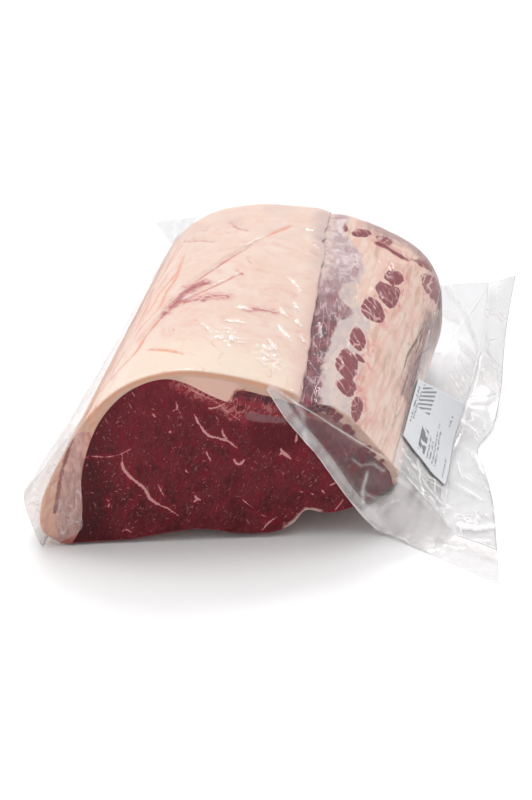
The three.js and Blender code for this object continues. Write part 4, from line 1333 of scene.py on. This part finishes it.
FLOOR_CREASES = [                # seen from above; they get painted highlights beside them and painted shade along them
    [(90, -90), (97, -97), (105, -100), (113, -87), (123, -68)], [(78, -59), (86, -53), (97, -46)],
    [(94, -28), (108, -46), (122, -66)]]


def face_haze_and_light(grid, on_plane):
    """How milky the film is where it hangs over the face, with painted highlights and painted light."""
    chord = far_from(on_plane, CHORD)
    # the film's milkiness, and a painted highlight along the crease
    haze_and_painted_light = 0.01 + 0.45 * peak(chord, 0.45)
    haze_and_painted_light += (0.015 + 0.06 * layered_noise(grid, 16, 64)) * smoothstep(-over(on_plane, CHORD), -1, 1)
    # painted highlights along the folds
    for line, half, amount in BANDS:
        haze_and_painted_light += amount * peak(far_from(on_plane, line), half)
    from_edge = far_from(on_plane, Curve(FREE_EDGE).at(np.linspace(0, 1, 40)))
    # painted highlights along the free edge
    hem = 0.5 * peak(from_edge, 0.45) + 0.26 * smoothstep(from_edge, 7, 4.5) + 0.12 * peak(from_edge - 6, 0.5)
    under_meat = smoothstep(-over(on_plane, LOW_EDGE), -1, 3)
    haze_and_painted_light += hem * smoothstep(grid[..., 2], 1, 16)
    # painted light where the film hangs below the meat, in its shade
    haze_and_painted_light += under_meat * (0.52 + 0.12 * lattice_noise(grid * (1, 1, 0.6), 13, 65))
    return np.clip(haze_and_painted_light, 0.01, 0.9)


def floor_haze_and_light(grid, folded):
    """How milky the film is where it lies on the floor, with painted highlights and painted light."""
    from_corner = np.linalg.norm(grid[..., :2] - CHINE_CORNER, axis=-1)
    patches = 0.8 + 0.6 * lattice_noise(grid * (1, 0.4, 1), 9, 66)
    # milkiness, painted highlights beside the creases, and painted light near the chine corner and towards
    # the fold
    haze_and_painted_light = 0.15 + 0.7 * peak(folded - 0.6, 1.0) + 0.3 * smoothstep(from_corner, 34, 10)
    return haze_and_painted_light + 0.4 * smoothstep(shares(grid, 0), 0.45, 0.8) * patches


def front_relief(grid):
    """The hanging film with its folds and creases, and how milky and how grey it is, with painted light and
    painted shade.
    """
    x, y, z = np.moveaxis(grid, -1, 0)
    on_plane = grid[..., [0, 2]]
    on_face = smoothstep(face_y(x) - y, 14, 5) * smoothstep(z, 1, 9)
    keep = smoothstep(shares(grid, 0), 1, 0.93)              # the edge at the fold stays where it is
    chord, share = distance_to(on_plane, CHORD)
    out = 1.4 * np.exp(-chord / 7) * np.sin(np.clip(share, 0, 1) * math.pi) ** 0.6
    for line, half, _ in BANDS:
        out += 0.8 * peak(far_from(on_plane, line), half)
    out += 0.8 * layered_noise(grid, 11, 61)
    folded = np.min([far_from(grid[..., :2], line) for line in FLOOR_CREASES], axis=0)
    crumple = layered_noise(grid, 13, 62) + 0.5 * layered_noise(grid, 5, 63)
    up = 1.6 * crumple * smoothstep(z, 0.5, 4) + 1.5 * peak(folded, 1.5)
    moved = np.stack([x, y - out * on_face * keep, np.maximum(z + up * (1 - on_face) * keep, 0.3)], -1)
    haze_and_painted_light = lerp(floor_haze_and_light(grid, folded), face_haze_and_light(grid, on_plane), smoothstep(on_face, 0.0, 0.5))
    # painted highlight along the free edge where it lies on the floor
    haze_and_painted_light[:2] += 0.3 * (1 - on_face[:2])
    # painted shade: grey on the floor, more along the creases
    shade = (0.06 + 0.15 * peak(folded + 0.2, 0.8)) * (1 - on_face)
    return moved, {"haze_and_painted_light": haze_and_painted_light, "shade": shade}


TAIL_INNER = [(-80, 83), (-83, 72), (-85, 50), (-85.5, 28), (-86, 13), (-92, 8), (-100, 3)]
TAIL_RIDGE = [(-83, 78), (-89, 64), (-96, 42), (-102, 24), (-104, 12)]


def tail_rim(top, fin):
    """The line of the fold in front of the tail, from the top down."""
    upper, lower = top[0][::-1], fin[0][::-1]
    rim = np.vstack([upper[(upper[:, 2] < 92) & (upper[:, 0] < 0)],
                     lower[(lower[:, 0] < -84) & (lower[:, 2] > 1)]])
    rim[:, 0] = np.maximum(rim[:, 0], FIN_REACH)
    return rim


def tail_sheet(rim):
    """The film folded over the cut face of the tail, from the rim to the right."""
    down = np.linspace(0, 1, 110)
    start, end = Curve(rim).at(down), Curve(TAIL_INNER).at(down)
    t = np.linspace(0, 1, 46)[None, :]
    x = lerp(start[:, 0][:, None], end[:, 0][:, None], t)
    z = lerp(start[:, 2][:, None], np.minimum(end[:, 1], start[:, 2] + 6)[:, None], t)
    flat = np.stack([x, z], -1)
    bulge = np.sin(t * math.pi)
    low = smoothstep(z, 22, 8) * np.abs(layered_noise(flat, 4, 72))
    folds = layered_noise(flat * (1, 0.4), 7, 71) + 1.6 * low
    y = face_y(x) - lerp(FOLD_GAP, 1.0, t) - 0.5 - folds * bulge
    grid = np.stack([x, np.minimum(y, face_y(x) - 0.9), np.maximum(z, 0.8)], -1)
    left = smoothstep(x - np.interp(z, [30, 75], [-99, -83]), -1.5, 1.5)
    # milkiness with painted highlights along the ridge, at the film's inner edge and along thin creases, and
    # painted shade over the left
    haze_and_painted_light = 0.02 + 0.05 * left + 0.04 * peak(far_from(flat, TAIL_RIDGE), 0.7) + 0.4 * smoothstep(t, 0.98, 1)
    creases = smoothstep(np.abs(lattice_noise(flat * (1, 0.5), 9, 73)), 0.07, 0.02) * smoothstep(z, 75, 20)
    haze_and_painted_light += (0.12 + 0.3 * left) * creases + 0.25 * low
    return grid, {"haze_and_painted_light": haze_and_painted_light * smoothstep(z, 95, 78), "shade": 0.10 * left}


def ear_sheet():
    """The corner of spare film behind the left shoulder."""
    root = Curve([(-75, 136, 95), (-82, 138, 84), (-87, 140, 72), (-90, 141, 62)]).at(np.linspace(0, 1, 24))
    tip = np.linspace((-112, 162, 76), (-112, 162, 74.6), 24)
    grid = ruled(root, tip, np.linspace(0, 1, 20)).swapaxes(0, 1)
    wave = lattice_noise(grid, 9, 81)
    grid[..., 1] += wave * np.sin(shares(grid, 0) * math.pi)
    return grid


def under_sheet():
    """The sheet under the loin, which rises to the seam of the flap."""
    along = np.linspace(0, 1, 60)
    across = np.linspace(-113, 98, 50)
    y = lerp(face_y(across)[None] + 44, BACK_Y + 3, along[:, None])
    x = across[None] + 0 * y
    z = 0.2 + 0.15 * lattice_noise(np.stack([x, y], -1), 8, 91)
    flat = np.stack([x, y, np.clip(z, 0.1, 0.6)], -1)
    seam = Curve(SEAM).at_point(along) + (0, 0, -1.2)
    rise = np.linspace(0, 1, 24)[1:]
    rising = ruled(flat[:, -1], seam, rise)
    rising[..., 2] -= 3 * np.sin(rise * math.pi) * smoothstep(seam[:, 2], 8, 40)[:, None]
    rising[..., 2] = np.maximum(rising[..., 2], 0.15)
    return np.concatenate([flat, rising], 1)


def gusset_sheet(top, flap):
    """The film gathered behind the far right corner, which closes the flap there."""
    last = np.argmax(top[:, -1, 1] > STRAIGHT_END)
    inner = Curve(top[last:, -1]).at(np.linspace(0, 1, 40))
    outer = np.linspace(flap[-1, SEAM_COLUMN], (98, BACK_Y + 2, 0.4), 40)
    grid = ruled(inner, outer, np.linspace(0, 1, 30))
    folds = lattice_noise(grid * (0.3, 1, 1), 9, 95)
    grid[..., 1] += 1.8 * folds * np.sin(shares(grid, 1) * math.pi)
    grid[..., 2] = np.maximum(grid[..., 2], 0.3)
    return grid


def label_piece(flap):
    """The white label that lies on the flap, on the same places as its solid."""
    across = np.linspace(0.04, 0.97, 60)[None]       # of the way from the meat to the seam
    along = lerp(0.17, lerp(0.48, 0.56, across), np.linspace(0, 1, 70)[:, None])
    row, column = along * (FLAP_ROWS - 1), across * SEAM_COLUMN + 0 * along
    i, j = row.astype(int), column.astype(int)
    on_row, on_column = (row - i)[..., None], (column - j)[..., None]
    points = lerp(lerp(flap[i, j], flap[i, j + 1], on_column),
                  lerp(flap[i + 1, j], flap[i + 1, j + 1], on_column), on_row) + LABEL_LIFT
    made = mesh_object("label_paper", points.reshape(-1, 3), quads(*points.shape[:2]))
    paint(made, label_across=shares(points, 1).ravel(), label_along=shares(points, 0).ravel())
    add_wall(made, PAPER)
    return made


def label_look():
    """White paper with plain dark bars and a few short grey lines."""
    look = Look(bpy.data.materials.new("label_white"))
    across, along = look.mark("label_across"), look.mark("label_along")

    def between(value, low, high, soft=0.004):
        return value.step(low - soft, low + soft) * value.step(high + soft, high - soft)

    paper = look.mix(look.noise(12, 2), (0.6, 0.61, 0.64), (0.66, 0.67, 0.7))
    slanted = along * 15.0 + across * -6.0
    stripe = look.math("FRACT", slanted).shift(look.noise(5, 1), 0.4).step(0.5, 0.58)
    bars = between(across, 0.12, 0.4) * between(along, 0.58, 0.97) * stripe
    blot = between(across, 0.3, 0.46) * between(along, 0.08, 0.4) * look.noise(6, 3).step(0.4, 0.46)
    colour = look.mix(bars * 0.8, paper, (0.08, 0.08, 0.09))
    colour.coat(blot, (0.05, 0.05, 0.06), 0.85)
    for start, low, high in ((0.04, 0.3, 0.9), (0.09, 0.38, 0.84), (0.5, 0.08, 0.38), (0.56, 0.1, 0.34),
                             (0.62, 0.08, 0.58), (0.68, 0.1, 0.52), (0.82, 0.62, 0.78), (0.88, 0.06, 0.3)):
        dashes = look.noise(1.8, 1).step(0.42, 0.5)
        line = between(across, start, start + 0.034) * between(along, low, high) * dashes
        colour.coat(line, (0.12, 0.12, 0.14), 0.8)
    return look.moist(colour, 0.35, look.bump(look.noise(14, 2), 0.4), 0.4)


def dress(piece, material, node_name):
    """Gives a piece its material, and puts it in place of its solid."""
    piece.data.materials.append(material)
    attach(piece, "root")
    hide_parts(node_name)


def make_meat():
    """The four pieces of meat and fat, with their marks and looks."""
    lean, cap, muscle, side = lean_piece(), cap_piece(), muscle_piece(), side_piece()
    mark_lean(lean)
    mark_cap(cap)
    mark_chine(muscle)
    mark_chine(side)
    dress(lean, lean_look(), "lean")
    dress(cap, cap_look(), "fat_cap")
    dress(muscle, side_muscle_look(), "side_muscle")
    dress(side, side_fat_look(), "side_fat")


def make_bag():
    """The eight sheets of film, and the label on the flap."""
    tight = film_look("film_tight", 0.99, 9, 0.7, (0.6, 2.2, 1), (0, 0, 38), 0.04, edge_gloss=0.08)
    fin_film = film_look("film_fin", 0.985, 16, 0.6, (1, 3, 1), (0, 0, 8), crinkle_shade_and_highlight=0.35, edge_gloss=0.2)
    hanging = film_look("film_hanging", 0.975, 12, 0.6, (1, 1, 2), (0, 30, 0), 0.02,
                        milk_and_light_colour=(0.96, 0.925, 0.915))
    loose = film_look("film_loose", 0.972, 26, 0.8, (1, 1.6, 1), (0, 0, 20), crinkle_shade_and_highlight=0.5, crinkle_size=40)
    tail_film = film_look("film_tail", 0.985, 10, 1.2, (1, 1, 1.6), (0, 20, 0), crinkle_shade_and_highlight=0.4, crinkle_size=12,
                          edge_gloss=0.3, milk_and_light_colour=(0.90, 0.74, 0.70))
    clear = film_look("film_under", 0.99, 20, 0.3)
    top, top_marks = top_sheet()
    fin = fin_sheet()
    straight = np.argmax(top[:, -1, 1] > STRAIGHT_END)
    flap = flap_rows(Curve(top[:straight + 1, -1]))
    flap[..., 2] += flap_relief(flap)
    front, front_marks = front_relief(front_sheet(top, flap))
    tail, tail_marks = tail_sheet(tail_rim(top, fin))
    for name, grid, marked, material in (
            ("bag_top", top, top_marks, tight), ("bag_fin", fin, fin_marks(fin), fin_film),
            ("bag_front", front, front_marks, hanging), ("bag_flap", flap, flap_marks(flap), loose),
            ("bag_tail", tail, tail_marks, tail_film),
            ("bag_corner", ear_sheet(), {"haze_and_painted_light": 0.12, "shade": 0.24}, loose),
            ("bag_under", under_sheet(), {}, clear), ("bag_gusset", gusset_sheet(top, flap), {}, clear)):
        dress(sheet(name, grid, **marked), material, "bag")
    dress(label_piece(flap), label_look(), "label")


# The scene

FLOOR_REACH = 9000


def floor_look():
    look = Look(bpy.data.materials.new("pale_floor"))
    mottle = look.mix(look.noise(400, 2), (0.9, 0.9, 0.9), (0.909, 0.909, 0.909))
    return look.moist(mottle, 0.7, look.bump(look.noise(50, 1), 0.01), 0.2)


def make_stage():
    """A plain pale floor, and light from all round that is brighter from above and from behind."""
    corners = [(-1, -1, 0), (1, -1, 0), (1, 1, 0), (-1, 1, 0)]
    floor = mesh_object("floor", np.array(corners) * FLOOR_REACH, [(0, 1, 2, 3)])
    floor.data.materials.append(floor_look())
    sky = Look(bpy.data.worlds.new("studio"), "Generated")
    back, up = sky.axes()[1:]
    wall = sky.value("ShaderNodeMapRange", {"Value": back, "From Min": 0.0, "From Max": 0.5, "To Min": 0.0,
                                            "To Max": 0.42}, interpolation_type="SMOOTHSTEP")
    level = sky.math("POWER", sky.math("MAXIMUM", up, 0.0), 14.0) * 3.2 + 0.39 + wall
    light = sky.value("ShaderNodeBackground", {"Color": (1, 1, 1), "Strength": level})
    bpy.context.scene.world = sky.surface(light, "ShaderNodeOutputWorld")
    bpy.context.scene.view_settings.view_transform = "Standard"


def add_light(name, toward, width, strength):
    """A far round studio light. Toward points to it, and width is how large it looks in degrees."""
    light = bpy.data.lights.new(name, "SUN")
    light.angle = math.radians(width)
    light.energy = strength * math.pi
    made = bpy.data.objects.new(name, light)
    made.rotation_euler = Vector(toward).to_track_quat("Z", "Y").to_euler()
    bpy.context.scene.collection.objects.link(made)


def add_camera():
    """The photograph's view: 30 degrees above the table and 11 degrees to the right of the loin."""
    elevation, azimuth, distance = math.radians(30), math.radians(11), 1.3
    aim = Vector((0, 0, 0.0325))
    back = Vector((math.sin(azimuth) * math.cos(elevation),
                   -math.cos(azimuth) * math.cos(elevation), math.sin(elevation)))
    camera = bpy.data.objects.new("camera", bpy.data.cameras.new("camera"))
    camera.data.sensor_width = 36
    camera.data.lens = 90
    camera.location = aim + back * distance
    camera.rotation_euler = back.to_track_quat("Z", "Y").to_euler()
    bpy.context.scene.collection.objects.link(camera)
    bpy.context.scene.camera = camera


make_meat()
make_bag()
make_stage()
add_light("top", (0.0, 0.22, 0.975), 20, 0.15)
add_light("key", (-0.10, 0.58, 0.81), 18, 0.26)
add_light("left", (-0.93, 0.15, 0.33), 20, 0.18)
add_light("rim", (0.37, 0.70, 0.61), 8, 0.05)
add_camera()
